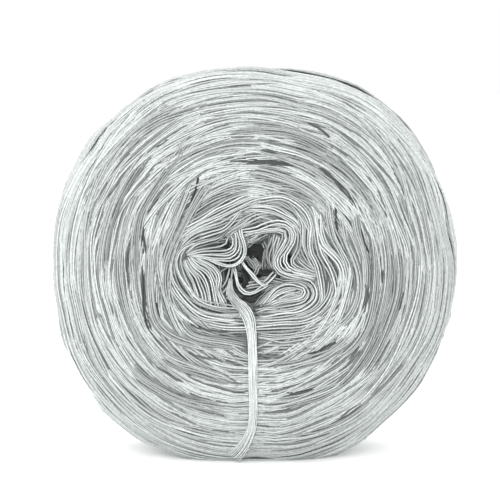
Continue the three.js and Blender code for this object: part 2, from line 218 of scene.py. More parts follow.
    (4, 0.92, (-0.8, 1.4, -0.8), (6, 8, 6), [(246, 202), (264, 197), (282, 196), (296, 202), (307, 212),
     (312, 226), (311, 242), (313, 256)]),
    # the left edge, round the pinch and on below the hollow
    (5, 0.62, (-0.8, 0.4, -0.6), (8, 10, 8), [(196, 240), (182, 250), (177, 264), (182, 280), (192, 294),
     (206, 303)]),
    (3, 0.95, (-0.6, 1.4, -0.4), (4, 5, 4), [(206, 240), (191, 244), (181, 251), (177, 262), (180, 274),
     (187, 286), (196, 298), (210, 305), (228, 308), (244, 309)]),
    (3, 0.88, (-0.6, 1.2, -0.4), (4, 5, 5), [(186, 242), (175, 252), (171, 266), (174, 281), (184, 296),
     (198, 308), (216, 313), (236, 314), (252, 315)]),
    (4, 0.92, (-0.8, 1.2, -0.6), (6, 8, 8), [(168, 270), (173, 286), (184, 302), (200, 315), (220, 320),
     (244, 321)]),
    # the right edge, whose threads sweep down and to the right
    (5, 0.62, (-0.8, 0.4, -0.6), (8, 10, 8), [(311, 204), (314, 224), (316, 242), (324, 260),
     (328, 280)]),
    (3, 0.90, (-0.6, 1.2, -0.4), (4, 5, 4), [(300, 196), (309, 208), (311, 224), (310, 240), (311, 252),
     (317, 264), (320, 277), (322, 291), (321, 304), (312, 315), (296, 321)]),
    (3, 0.95, (-0.6, 1.2, -0.6), (4, 6, 5), [(308, 200), (314, 214), (316, 228), (318, 242), (322, 255),
     (329, 266), (334, 279), (336, 293), (331, 305)]),
    (3, 0.88, (-0.6, 1.3, -0.6), (4, 5, 4), [(314, 202), (319, 216), (321, 231), (326, 246), (335, 256),
     (342, 266), (345, 280), (344, 296)]),
    (2, 1.00, (-0.4, 1.6, -0.4), (3, 3, 3), [(318, 232), (321, 244), (328, 252), (336, 260), (341, 269),
     (343, 284)]),
    (4, 0.86, (-0.8, 1.1, -0.8), (6, 7, 6), [(322, 196), (328, 206), (330, 220), (334, 236), (341, 250),
     (348, 264), (351, 282)]),
    # below the hollow
    (6, 0.76, (-0.8, 0.2, -0.8), (10, 12, 10), [(258, 336), (280, 338), (304, 335), (326, 327),
     (343, 313)]),
    (5, 0.74, (-0.8, 0.2, -0.8), (9, 10, 9), [(262, 348), (286, 348), (310, 344), (332, 334),
     (348, 320)]),
    (6, 0.76, (-0.8, 0.2, -0.8), (10, 12, 10), [(186, 318), (200, 330), (218, 337), (236, 339)]),
    (5, 0.60, (-0.8, 0.2, -0.8), (10, 12, 10), [(196, 308), (216, 314), (240, 318), (270, 320),
     (300, 318), (324, 306)]),
    (3, 0.92, (-0.6, 1.0, -0.6), (4, 6, 5), [(256, 312), (272, 310), (288, 312), (304, 311), (316, 304)]),
    (3, 0.90, (-0.8, 1.1, -0.6), (5, 6, 5), [(252, 321), (268, 321), (286, 319), (304, 317), (320, 309),
     (329, 296), (331, 282)]),
    (4, 0.86, (-0.8, 0.3, -0.8), (6, 9, 7), [(198, 322), (220, 328), (248, 328), (276, 327), (302, 325),
     (324, 316), (338, 302)]),
)]

# Yarns over the rest of the face, placed in the same way: their threads, tone and line. The dark ones are
# painted shade: dark yarns laid lower, where the others part.
FACE_YARNS = [
    # left side
    (6, 0.72, [(240, 101), (214, 103), (184, 110), (158, 120), (136, 134), (118, 152), (104, 174),
     (92, 198)]),
    (5, 0.72, [(176, 86), (150, 98), (126, 118), (106, 144), (90, 172), (78, 202), (70, 232), (67, 262),
     (69, 290)]),
    (1, 0.30, [(122, 128), (113, 144), (103, 162), (92, 182), (84, 202), (78, 224), (74, 244)]),
    (6, 0.72, [(129, 126), (119, 142), (109, 160), (99, 180), (91, 202), (86, 226), (84, 252), (84, 278),
     (88, 302), (96, 326), (108, 350), (124, 372)]),
    (6, 0.71, [(168, 134), (150, 150), (134, 170), (120, 194), (110, 220), (104, 248), (103, 276),
     (107, 302)]),
    (5, 0.72, [(152, 168), (141, 188), (132, 208), (125, 230), (121, 252), (120, 276), (124, 300),
     (131, 322), (142, 344), (157, 362), (177, 378), (202, 388)]),
    (2, 0.30, [(135, 220), (132, 238), (128, 256), (127, 272), (129, 288), (133, 304)]),
    (5, 0.73, [(224, 117), (206, 125), (191, 140), (176, 160), (160, 182), (148, 200), (140, 216),
     (137, 234), (136, 252), (137, 270), (139, 290), (140, 308), (143, 326), (152, 342)]),
    (2, 0.04, [(143, 206), (142, 224), (143, 242), (146, 256), (149, 268)]),
    (2, 0.05, [(143, 262), (144, 290), (145, 312), (149, 328), (160, 340)]),
    (5, 0.72, [(166, 198), (158, 216), (153, 236), (151, 258), (150, 280), (151, 300), (155, 320),
     (167, 334), (187, 343), (212, 349), (244, 354)]),
    (4, 0.73, [(198, 164), (190, 186), (181, 208), (172, 228), (163, 248), (159, 268), (158, 288)]),
    (1, 0.04, [(200, 170), (197, 184), (193, 198), (189, 210)]),
    (1, 0.04, [(156, 296), (158, 312), (161, 324), (169, 334), (180, 341)]),
    (5, 0.73, [(240, 166), (222, 172), (206, 188), (195, 206), (186, 224), (176, 244), (169, 264),
     (167, 284), (171, 302), (181, 318), (196, 330)]),
    # above the hollow
    (6, 0.72, [(152, 190), (168, 174), (188, 160), (210, 150), (236, 145), (262, 146), (288, 150)]),
    (5, 0.72, [(184, 128), (204, 116), (228, 110), (256, 108), (284, 110), (312, 116), (336, 128)]),
    (6, 0.72, [(210, 136), (232, 130), (256, 128), (282, 130), (308, 138), (332, 150), (352, 166)]),
    (2, 0.22, [(158, 183), (167, 177), (178, 171)]),
    (1, 0.30, [(150, 152), (162, 144), (174, 137)]),
    (2, 0.16, [(202, 170), (216, 163), (234, 160), (256, 161), (276, 163), (296, 166), (312, 174)]),
    (1, 0.30, [(248, 149), (268, 151), (290, 153)]),
    (6, 0.73, [(236, 174), (256, 171), (282, 177), (304, 187), (322, 200), (334, 216)]),
    (5, 0.72, [(262, 141), (288, 144), (314, 153), (338, 166), (356, 182), (370, 202), (381, 224),
     (388, 246)]),
    (1, 0.30, [(304, 121), (318, 128), (332, 139)]),
    (2, 0.20, [(312, 164), (328, 174), (342, 188), (352, 202), (358, 218)]),
    # right side
    (5, 0.72, [(270, 84), (300, 88), (328, 97), (352, 111), (374, 131), (392, 156), (404, 184),
     (411, 214), (414, 244)]),
    (1, 0.30, [(300, 83), (322, 91), (342, 100), (354, 111), (366, 124)]),
    (1, 0.30, [(386, 158), (397, 178), (405, 196), (410, 214), (413, 234)]),
    (5, 0.72, [(364, 112), (386, 132), (404, 156), (418, 184), (428, 214), (434, 246), (434, 276),
     (429, 304)]),
    (1, 0.30, [(418, 184), (424, 202), (431, 218), (438, 234)]),
    (1, 0.30, [(373, 182), (380, 196), (385, 210), (388, 226)]),
    (5, 0.72, [(338, 198), (342, 220), (346, 242), (353, 258), (358, 274), (359, 290), (356, 304),
     (348, 318), (334, 329), (316, 336)]),
    (1, 0.04, [(333, 200), (336, 216), (337, 232), (341, 248)]),
    (4, 0.73, [(346, 196), (354, 214), (357, 232), (362, 248), (366, 264), (366, 284), (362, 304)]),
    (1, 0.04, [(360, 218), (361, 232), (366, 246), (371, 260)]),
    (4, 0.73, [(366, 206), (371, 226), (374, 248), (375, 270), (374, 292), (371, 312), (364, 332),
     (352, 348), (334, 360), (312, 368)]),
    (2, 0.22, [(366, 274), (367, 292), (364, 308), (358, 320)]),
    (4, 0.72, [(376, 212), (383, 234), (387, 256), (387, 278), (384, 300), (378, 322), (370, 344),
     (358, 364), (342, 382), (322, 394), (298, 402)]),
    (2, 0.30, [(381, 262), (384, 278), (383, 294)]),
    (5, 0.72, [(388, 226), (396, 248), (399, 272), (397, 296), (390, 320), (380, 344), (366, 368),
     (348, 388)]),
    (1, 0.14, [(405, 286), (401, 302), (396, 316)]),
    (5, 0.72, [(412, 220), (418, 246), (419, 272), (415, 300), (407, 326), (396, 352), (382, 376),
     (364, 398), (342, 414), (316, 424)]),
    # below the hollow
    (1, 0.22, [(346, 341), (330, 345), (318, 351), (302, 356)]),
    (2, 0.30, [(361, 342), (356, 354), (346, 364), (336, 374)]),
    (5, 0.72, [(358, 326), (348, 340), (332, 352), (310, 361), (286, 367), (262, 370)]),
    (1, 0.30, [(258, 354), (272, 357), (290, 355)]),
    (1, 0.22, [(334, 382), (318, 389), (300, 393), (280, 391), (258, 389)]),
    (6, 0.72, [(352, 372), (334, 386), (310, 397), (284, 403), (258, 405)]),
    (1, 0.30, [(372, 396), (356, 406), (340, 417), (322, 424)]),
    (1, 0.30, [(258, 414), (280, 411), (300, 406)]),
    (5, 0.72, [(384, 392), (364, 410), (342, 424), (316, 434), (288, 439), (260, 440)]),
    (1, 0.22, [(184, 318), (196, 327), (212, 331), (232, 333)]),
    (6, 0.72, [(178, 318), (190, 334), (208, 340), (230, 343), (246, 347)]),
    (1, 0.30, [(182, 346), (194, 354), (210, 359), (230, 361)]),
    (6, 0.72, [(150, 346), (170, 360), (194, 370), (220, 378), (244, 386)]),
    (1, 0.30, [(214, 366), (226, 376), (238, 382)]),
    (6, 0.72, [(120, 356), (140, 376), (164, 392), (190, 402), (218, 408), (246, 410)]),
    (1, 0.22, [(148, 356), (154, 364), (164, 372), (178, 380), (190, 384)]),
    (6, 0.72, [(94, 356), (112, 380), (134, 402), (160, 420), (188, 432), (218, 438), (246, 438)]),
    (1, 0.30, [(80, 356), (94, 376), (110, 394), (126, 411), (142, 427)]),
    (5, 0.72, [(66, 322), (78, 350), (96, 378), (118, 404), (144, 426), (172, 442)]),
]
# How far they stand out at their start, middle and end.
FACE_YARN_LIFT = (-1.1, 1.15, -1.1)
# Yarns darker than SHADE_TONE are painted shade and lie lower, at SHADE_LIFT.
SHADE_LIFT = (-1.1, 0.65, -1.1)
SHADE_TONE = 0.4  # yarns darker than this lie lower
FACE_YARN_SPACING = 2.0  # picture pixels
FACE_YARN_WIDTHS = (1.15, 0.9, 1.15)  # a yarn's width at its start, middle and end, as a share

# How the bundles lie. Their threads keep together in twos.
BUNDLE_BASE = (-0.5, 0.3)  # how far the deepest and the topmost bundle stand out, before their own lift
YARN_BASE = (-0.1, 0.3)
BUNDLE_YARN = 2
BUNDLE_GAP = 0.4  # the most room between two yarns, in threads' spacings
BUNDLE_YARN_TONES = 0.03
BUNDLE_THREAD_TONES = 0.06
BUNDLE_TONE_CAP = 0.144  # how far above its bundle's tone a thread's may be
# Painted shade on a bundle's edge threads.
BUNDLE_EDGE_SHADE = 0.12
BUNDLE_UNEVEN = 0.5  # picture pixels
BUNDLE_ROUGH = 0.2
BUNDLE_LEVELS = 0.17  # how much higher or lower whole threads lie
BUNDLE_RISE = (0.22, 0.8)  # a bundle has this share of its lift at this part of its length
LONG_LINE = 110  # picture pixels past which a line's points are further apart
SHORT_LINE_STEP = 4.5
LONG_LINE_STEP = 7
SUNK = [2, 14]  # depths below the face over which threads are painted lighter, painted light against the hollow's shade, and how light they are there
SUNK_PAINTED_LIGHT = [0.87, 1.08]

# How the other threads lie. Tones run from 0, painted as deep in shade, to 1, the palest; they carry
# painted light and shade as well as the yarns' own uneven tone.
THREAD_SPACING = 0.6
SPACING_SPREAD = 0.05  # how unevenly threads lie beside each other, as a share of their spacing
YARN_GAP = 0.5  # the most room between two yarns of a face, past their threads' spacing
YARN_EDGE_DROP = 0.36  # how far a yarn's outer thread lies below its middle ones
# Painted shade: how much darker a yarn's edge thread is painted, beside the gap to the next yarn.
YARN_EDGE_SHADE = 0.3
YARN_LAST_EDGE = 0.25  # the share of drop and painted shade that a yarn's last thread has
YARN_TONE_SPREAD = 0.025
THREAD_TONE_SPREAD = 0.04
TONE_CAP = 0.05  # how far above its sheet's tone a thread's may be
GARLAND_SPREAD = 0.6  # how steeply the threads climb outwards, beside the solid's garlands
GARLAND_STRETCH = (0.85, 1.1)  # how much shorter or longer a garland may be towards each end
GARLAND_SKEW = 0.25  # how much steeper one end may climb, and how much less the other
ROUNDING_SPREAD = (0.7, 1.3)
SINK_ZONE = (0.35, 1.0)  # parts of a garland's half-length over which it sinks under others
FAN = (-0.25, 0.35)  # how much wider a garland is at both ends, or narrower
FAN_SKEW = 0.15
EDGE_SHADE_ZONE = ([56, 66], [1, 0.4])  # distances from the axis over which the painted shade of a yarn's edges gets less
LEAST_RADIUS = 6.0  # how near the axis a sheet's threads still keep their spacing
GOLDEN_TURN = 2.39996  # radians from one garland to the next, which spreads them evenly
BACK_PIXEL = 0.33  # millimetres for a pixel of the bundles' lines, laid on the back
BACK_MIDDLE = (250, 260)  # the pixel of those lines that lies on the back hollow's middle
BACK_TURN = math.radians(140)
BACK_REACH = 60.0  # how far behind the middle the search for the back face starts
SETBACK_ZONE = (50, 68)  # distances from the axis over which the rim's setback starts
TURNING_ZONE = (48, 68)  # the same for the sideways look of face threads
TURNING = 1.2  # how far they look sideways there, beside straight out

# The route of the yarn end in metres, the same points as the solid's.
YARN_END_ROUTE = [
    (-0.0074, -0.0206, 0.0624),
    (-0.0077, -0.0232, 0.0599),
    (-0.0074, -0.0270, 0.0576),
    (-0.0056, -0.0312, 0.0556),
    (-0.0034, -0.0352, 0.0540),
    (-0.0016, -0.0375, 0.0514),
    (-0.0006, -0.0373, 0.0470),
    (-0.0001, -0.0366, 0.0390),
    (-0.0001, -0.0357, 0.0320),
    (0.0000, -0.03465, 0.0270),
    (0.0001, -0.0334, 0.0225),
    (0.0000, -0.0315, 0.0175),
    (-0.0005, -0.0294, 0.0130),
    (-0.0018, -0.0275, 0.0092),
    (-0.0036, -0.0256, 0.0058),
    (-0.0054, -0.02385, 0.0034),
    (-0.0069, -0.0223, 0.0019),
]
YARN_END_WIDTH = 0.0028  # four threads side by side

# The camera looks along +Y, a little down, from the distance that the outline's curve gives.
VIEW_DISTANCE = 800.0
VIEW_ELEVATION = 5.0
VIEW_AIM = (-1.0, 0.0, 70.4)
VIEW_LENS = 166.7
SENSOR = 36.0


class YarnSettings(bpy.types.PropertyGroup):
    """Sizes and colours of the yarn, whose colours also paint its light and shade."""

    thickness: FloatProperty(
        name="Thread thickness", description="Thickness of one thread", default=0.00075,
        min=0.0004, max=0.002, unit="LENGTH",
    )
    ply: IntProperty(
        name="Threads", description="Threads that run side by side as one yarn", default=4, min=1, max=8,
    )
    # The four colours below make a ramp: the palest colour is painted light that makes the hollows' threads
    # as pale as the outer ones, the lit colour is the thread's own colour on its outer side, the middle
    # colour its painted shaded flanks, and the deep colour painted shade deep between threads.
    bright: FloatVectorProperty(
        name="Palest colour", description="Colour of the palest threads, which lie in the hollows",
        subtype="COLOR", default=(0.86, 0.9, 0.885), min=0, max=1,
    )
    light: FloatVectorProperty(
        name="Lit colour", description="Colour of the outer side of a thread", subtype="COLOR",
        default=(0.5, 0.527, 0.518), min=0, max=1,
    )
    middle: FloatVectorProperty(
        name="Middle colour", description="Colour of a thread's flanks", subtype="COLOR",
        default=(0.15, 0.161, 0.157), min=0, max=1,
    )
    dark: FloatVectorProperty(
        name="Deep colour", description="Colour of threads deep between others", subtype="COLOR",
        default=(0.007, 0.008, 0.008), min=0, max=1,
    )
    roughness: FloatProperty(
        name="Roughness", description="Roughness of the spun fibre", default=0.62, min=0, max=1,
        subtype="FACTOR",
    )


class StudioSettings(bpy.types.PropertyGroup):
    """Light and floor of the studio."""

    surround: FloatProperty(
        name="Surround", description="Strength of the white surround", default=1.0, min=0, max=5,
    )
    key: FloatProperty(
        name="Front light", description="Power of the large light beside the camera", default=13.9, min=0,
        max=100, unit="POWER",
    )
    rim: FloatProperty(
        name="Side lights", description="Power of the lights above and at both sides", default=3.8, min=0,
        max=100, unit="POWER",
    )
    floor: FloatVectorProperty(
        name="Floor colour", description="Colour of the floor", subtype="COLOR",
        default=(0.93, 0.935, 0.94), min=0, max=1,
    )
    floor_glow: FloatProperty(
        name="Floor glow", description="Light that comes up from the floor", default=0.15, min=0, max=1,
    )


def smooth_step(x, low, high):
    t = np.clip((np.asarray(x, float) - low) / (high - low), 0, 1)
    return t * t * (3 - 2 * t)


def unit(vectors):
    return vectors / np.maximum(np.linalg.norm(vectors, axis=-1, keepdims=True), 1e-9)


def solid_tree():
    """The solid of the wound form as a search tree, in metres."""
    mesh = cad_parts["wound_cake"].data
    return BVHTree.FromPolygons([v.co for v in mesh.vertices], [p.vertices[:] for p in mesh.polygons])


def guide_points(end, angle, ring):
    """Points of the form without folds and garlands. ring is 0 in the pit, 1 at the lip, 2 at the rim."""
    h = HOLLOWS[end]
    angle, ring = np.broadcast_arrays(angle, ring)
    swing = np.clip(ring - 1, 0, 1) * np.pi / 2
    lip = h.lip + h.oval * np.cos(2 * angle)
    inside = ring <= 1
    outer = lip + (RIM_RADIUS - lip) * np.sin(swing) ** (2 / SHOULDER_POWER)
    radius = np.where(inside, lip * ring, outer)
    funnel = HALF_THICKNESS - h.depth * (1 - np.clip(ring, 0, 1) ** 2.2) ** 2
    crown = HALF_THICKNESS * np.cos(swing) ** (2 / SHOULDER_POWER)
    height = np.where(inside, funnel, crown)
    lean = np.clip(ring, 0, 1) ** 1.5
    fade = np.cos(swing) ** 2
    x = fade * (h.pit_x + (h.lip_x - h.pit_x) * lean) + radius * np.cos(angle)
    z = fade * (h.pit_z + (h.lip_z - h.pit_z) * lean) + radius * np.sin(angle)
    return np.stack([x, h.side * height, z + AXIS_HEIGHT], -1)


def rim_setback(angle):
    """How far the rim's outline lies inside the round one at each angle, in millimetres."""
    return np.interp(np.degrees(angle) % 360, *zip(*RIM_SETBACK), period=360)


class Skin:
    """The outer surface of the wound form as a table. One axis is the angle round the winding axis, the
    other is the distance from the middle of the rim: below 0 over the front face, above 0 over the back."""

    ANGLES = 360
    STEP = 0.75
    PIT_RING = 0.05
    RINGS = 260
    REACH = 9.0  # how far outside the guide a search for the solid starts
    SEARCH = 0.03  # metres that a search goes

    def __init__(self, tree):
        angles = np.arange(self.ANGLES) * 2 * np.pi / self.ANGLES
        rings = np.linspace(2, self.PIT_RING, self.RINGS)
        halves = {}
        for end in HOLLOWS:
            line = guide_points(end, angles[:, None], rings[None])
            steps = np.linalg.norm(np.diff(line, axis=1), axis=2)
            distance = np.concatenate([np.zeros((self.ANGLES, 1)), np.cumsum(steps, 1)], 1)
            columns = np.arange(0, distance[:, -1].min(), self.STEP)
            halves[end] = np.stack([
                np.stack([np.interp(columns, distance[i], line[i, :, k]) for k in range(3)], -1)
                for i in range(self.ANGLES)
            ])
        guide = np.concatenate([halves["front"][:, :0:-1], halves["back"]], 1)
        self.low = -(halves["front"].shape[1] - 1) * self.STEP
        outward = self.directions(guide)
        self.points = self.pushed(tree, guide, outward)
        near_rim = smooth_step(self.from_axis(), *SETBACK_ZONE)
        self.points -= outward * (rim_setback(angles)[:, None] * near_rim)[..., None]
        self.outward = self.directions(self.points)
        self.radius = self.from_axis()

    def from_axis(self):
        return np.hypot(self.points[..., 0], self.points[..., 2] - AXIS_HEIGHT)

    def directions(self, points):
        """The outward direction at each point of a table."""
        along = np.roll(points, -1, 0) - np.roll(points, 1, 0)
        across = np.gradient(points, axis=1)
        return unit(self.blurred(unit(np.cross(across, along))))

    def blurred(self, table):
        for _ in range(2):
            table = (np.roll(table, 1, 0) + 2 * table + np.roll(table, -1, 0)) / 4
            table = blurred_along(table)
        return table

    def pushed(self, tree, guide, outward):
        """The guide's points moved along their directions onto the solid."""
        start = (guide + outward * self.REACH).reshape(-1, 3) * MM
        aim = -outward.reshape(-1, 3)
        moved = np.zeros(len(start))
        for i, (p, d) in enumerate(zip(start.tolist(), aim.tolist())):
            distance = tree.ray_cast(p, d, self.SEARCH)[3]
            if distance is not None:
                moved[i] = self.REACH - distance / MM
        moved = self.blurred(moved.reshape(outward.shape[:2]))
        return guide + outward * moved[..., None]

    def look_up(self, table, angle, across):
        i = (np.asarray(angle) / (2 * np.pi) * self.ANGLES) % self.ANGLES
        j = np.clip((across - self.low) / self.STEP, 0, self.points.shape[1] - 1.001)
        i0, j0 = np.floor(i).astype(int), np.floor(j).astype(int)
        fi, fj = i - i0, j - j0
        i0 = i0 % self.ANGLES
        i1 = (i0 + 1) % self.ANGLES
        if table.ndim == 3:
            fi, fj = fi[..., None], fj[..., None]
        near = table[i0, j0] * (1 - fj) + table[i0, j0 + 1] * fj
        far = table[i1, j0] * (1 - fj) + table[i1, j0 + 1] * fj
        return near * (1 - fi) + far * fi

    def at(self, angle, across, lift):
        """Points that lie lift above the skin, and the outward directions there."""
        angle, across, lift = np.broadcast_arrays(angle, across, lift)
        outward = unit(self.look_up(self.outward, angle, across))
        return self.look_up(self.points, angle, across) + outward * lift[..., None], outward

    def inward(self, end, radius):
        """How far inwards from the middle of the rim an end face has this radius."""
        mean = self.radius.mean(0)
        columns = self.low + self.STEP * np.arange(len(mean))
        half = columns <= 0 if end == "front" else columns >= 0
        order = np.argsort(mean[half])
        return np.interp(radius, mean[half][order], np.abs(columns[half][order]))


def blurred_along(table):
    """A table smoothed once along its second axis."""
    padded = np.concatenate([table[:, :1], table, table[:, -1:]], 1)
    return (padded[:, :-2] + 2 * padded[:, 1:-1] + padded[:, 2:]) / 4


class Threads:
    """The threads of one mesh: tubes along lines of points, in millimetres."""

    MAP_SPAN = 0.08  # how much of the map's height one thread takes
    CAP_SPAN = 0.004  # how far apart a thread's ends lie on the map, so that they have an area
    OFF_FLOOR = 1.02  # the least height of a thread's middle, as a share of its radius
    RIM_SHARE = 0.35  # how much of the flanks' painted shade is left on the rim
    RIM_LOOK = (0.25, 0.75)  # from the rim's directions to a face's, along the winding axis

    def __init__(self, name, seed, sides=4, painted_flank=0.7, step=4.3):
        """flank sets the painted shade of a thread: how dark it is painted at its flanks, beside its outer
        side, and it is painted darker below. step is how far apart the points of a thread are on a face."""
        self.name = name
        self.step = step
        self.sides = sides
        self.painted_flank = painted_flank
        self.rng = np.random.default_rng(seed)
        self.batches = []
        self.radius = bpy.context.scene.yarn_cake.thickness / MM / 2

    def add(self, points, outward, tone):
        """Adds threads, an array (threads, points, 3), with a tone for each thread or each point."""
        points = np.array(points, float)
        points[..., 2] = np.maximum(points[..., 2], self.radius * self.OFF_FLOOR)
        tone = np.broadcast_to(np.reshape(tone, (len(points), -1)), points.shape[:2])
        self.batches.append((points, np.array(outward, float), tone))

    def painted_shades(self, outward, phi):
        """Painted shade round a thread: its tone is full on its outer side, and it is painted darker at its
        flanks and below.
        """
        beside = 1 - np.abs(np.cos(phi))
        below = np.maximum(-np.cos(phi), 0)
        faces_end = smooth_step(np.abs(outward[..., 1]), *self.RIM_LOOK)
        shade = (1 - self.painted_flank) * (self.RIM_SHARE + (1 - self.RIM_SHARE) * faces_end)
        painted_flank = (1 - shade)[:, :, None]
        return 1 - (1 - painted_flank) * beside - (1 - painted_flank**2) * below

    def build(self, material, slot):
        """Makes the mesh, with its map: across it is the tone with the painted shade round each thread, and
        up it is the place along the thread.
        """
        s = self.sides
        phi = 2 * np.pi * np.arange(s) / s
        verts, loops, totals, maps = [], [], [], []
        base = 0
        for points, outward, tone in self.batches:
            k, n, _ = points.shape
            tangent = unit(np.gradient(points, axis=1))
            up = unit(outward - (outward * tangent).sum(-1, keepdims=True) * tangent)
            side = np.cross(tangent, up)
            ring = up[:, :, None] * np.cos(phi)[:, None] + side[:, :, None] * np.sin(phi)[:, None]
            verts.append((points[:, :, None] + self.radius * ring).reshape(-1, 3))
            start = self.rng.uniform(0, 1 - self.MAP_SPAN, k)[:, None]
            height = start + self.MAP_SPAN * np.linspace(0, 1, n)[None]
            u = np.clip(0.03 + 0.94 * tone[:, :, None] * self.painted_shades(outward, phi), 0.01, 0.99)
            v = np.broadcast_to(height[:, :, None], u.shape)
            uv = np.stack([u, v], -1).reshape(-1, 2)

            index = base + np.arange(k * n * s).reshape(k, n, s)
            nxt = np.roll(index, -1, 2)
            quads = np.stack([index[:, :-1], nxt[:, :-1], nxt[:, 1:], index[:, 1:]], -1).reshape(-1)
            caps = np.stack([index[:, 0, ::-1], index[:, -1]], 1).reshape(-1)
            loops += [quads, caps]
            totals += [np.full(k * (n - 1) * s, 4), np.full(2 * k, s)]
            apart = np.zeros((len(caps), 2))
            apart[:, 1] = self.CAP_SPAN * (np.arange(len(caps)) % s > (s - 1) / 2)
            maps += [uv[quads - base], uv[caps - base] + apart]
            base += k * n * s
        return mesh_object(self.name, np.concatenate(verts), np.concatenate(loops),
                           np.concatenate(totals), np.concatenate(maps), material)


def mesh_object(name, verts, loops, totals, maps, material):
    """A smooth mesh object from points in millimetres, faces as one list of corners, and their map."""
    mesh = bpy.data.meshes.new(name)
    mesh.vertices.add(len(verts))
    mesh.vertices.foreach_set("co", (verts * MM).astype(np.float32).ravel())
    mesh.loops.add(len(loops))
    mesh.loops.foreach_set("vertex_index", loops.astype(np.int32))
    mesh.polygons.add(len(totals))
    mesh.polygons.foreach_set("loop_start", (np.cumsum(totals) - totals).astype(np.int32))
    mesh.polygons.foreach_set("loop_total", totals.astype(np.int32))
    mesh.update(calc_edges=True)
    layer = mesh.uv_layers.new(name="OFBake")
    layer.data.foreach_set("uv", maps.astype(np.float32).ravel())
    mesh.polygons.foreach_set("use_smooth", np.ones(len(totals), bool))
    mesh.materials.append(material)
    mesh.validate()
    piece = bpy.data.objects.new(name, mesh)
    bpy.context.scene.collection.objects.link(piece)
    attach(piece, "root")
    return piece


def wobble(rng, threads, steps, size, waves=2.5):
    """Smooth uneven lines, one for each thread, of about this size."""
    t = np.linspace(0, 1, steps)[None]
    line = np.zeros((threads, steps))
    for _ in range(3):
        turns = rng.uniform(0.4, waves, (threads, 1))
        phase = rng.uniform(0, 2 * np.pi, (threads, 1))
        line += rng.normal(0, 0.6, (threads, 1)) * np.sin(2 * np.pi * turns * t + phase)
    return size * line


def bundle_tones(rng, threads, level):
    """A tone for each thread of a listed bundle: its yarn's, and a little of its own."""
    yarns = rng.normal(0, BUNDLE_YARN_TONES, threads // BUNDLE_YARN + 2)
    number = (np.arange(threads) + rng.integers(BUNDLE_YARN)) // BUNDLE_YARN
    tones = level + yarns[number] + rng.normal(0, BUNDLE_THREAD_TONES, threads)
    return np.clip(tones, 0, min(1, level + BUNDLE_TONE_CAP))


def bundle_places(rng, threads):
    """The sideways places of a bundle's threads, in a width of 1, with more room between yarns."""
    steps = 1 + rng.normal(0, SPACING_SPREAD, threads)
    first = (np.arange(threads) + rng.integers(BUNDLE_YARN)) % BUNDLE_YARN == 0
    steps[first] += BUNDLE_GAP * rng.uniform(0.2, 1, first.sum())
    places = np.cumsum(steps)
    return (places - places.mean()) / max(np.ptp(places), 1)


def yarns_abreast(rng, threads, ply, level, shade=YARN_EDGE_SHADE):
    """Threads that lie beside each other as rounded yarns: their sideways places, how far each lies below
    its yarn's top, and their tones. shade is the painted shade: how much darker the thread at a yarn's edge
    is painted."""
    number, inside = np.divmod(np.arange(threads) + rng.integers(ply), ply)
    steps = THREAD_SPACING * (1 + rng.normal(0, SPACING_SPREAD, threads))
    steps[inside == 0] += YARN_GAP * rng.uniform(0.3, 1, np.sum(inside == 0))
    places = np.cumsum(steps)
    edge = np.where(inside == 0, 1.0, np.where(inside == ply - 1, YARN_LAST_EDGE, 0.0))
    tones = level + rng.normal(0, YARN_TONE_SPREAD, number.max() + 1)[number]
    tones += rng.normal(0, THREAD_TONE_SPREAD, threads) - shade * edge
    return places - places.mean(), YARN_EDGE_DROP * edge, np.clip(tones, 0, level + TONE_CAP)


def lay_sheet(threads, skin, angle, across, lift, yarns, spread, uneven=0.2, rough=0.12):
    """Lays a sheet of threads along a middle line on the skin. angle, across, lift and spread are lists
    along the line, and yarns are the places, drops and tones of its threads."""
    rng = threads.rng
    places, drops, tones = yarns
    k, n = len(places), len(angle)
    radius = np.maximum(skin.look_up(skin.radius, angle, across), LEAST_RADIUS)
    slope = np.arctan2(np.gradient(across), np.gradient(angle) * radius)
    sideways = places[:, None] * spread[None] + wobble(rng, k, n, uneven)
    a = angle[None] - sideways * np.sin(slope) / radius
    w = across[None] + sideways * np.cos(slope)
    height = lift[None] - drops[:, None] + wobble(rng, k, n, rough, 1.5)
    height += rng.normal(0, rough * 0.5, (k, 1))
    points, outward = skin.at(a, w, height)
    threads.add(points, outward, tones)


# One garland of turns as it is laid. centre is its middle and reach its half-length, both in radians,
# turn its least distance from the axis, climb the way outwards for each radian, and count its threads.
# lift is how far it stands out, sink how much less its ends do, and lean how much one end is raised and
# the other lowered.
Garland = namedtuple("Garland", "centre turn climb reach count lift sink tone lean", defaults=(0.0,))


def lay_garland(threads, end, garland):
    """A garland of an end face: in from the rim, round and out again, its ends sunk under others."""
    rng = threads.rng
    skin = skin_of_cake()
    centre, turn, climb, reach, count, lift, sink, tone, lean = garland
    sign = HOLLOWS[end].side
    steps = max(8, int(2 * reach * (turn + 8) / threads.step))
    uneven = np.linspace(rng.uniform(*GARLAND_STRETCH), rng.uniform(*GARLAND_STRETCH), steps)
    delta = np.linspace(-reach, reach, steps) * uneven
    rounding = GARLAND_ROUNDING * rng.uniform(*ROUNDING_SPREAD)
    skew = rng.uniform(-GARLAND_SKEW, GARLAND_SKEW)
    out = climb * (np.hypot(delta, rounding) - rounding) * (1 + skew * np.tanh(delta / GARLAND_ROUNDING))
    depth = skin.inward(end, turn) - out
    far = np.abs(delta) / reach
    height = lift - sink * smooth_step(far, *SINK_ZONE) + lean * delta / reach
    shade = YARN_EDGE_SHADE * np.interp(turn, *EDGE_SHADE_ZONE)
    yarns = yarns_abreast(rng, count, bpy.context.scene.yarn_cake.ply, tone, shade)
    spread = 1 + rng.uniform(*FAN) * far**2 + rng.uniform(-FAN_SKEW, FAN_SKEW) * delta / reach
    lay_sheet(threads, skin, centre + delta, sign * depth, height, yarns, spread)


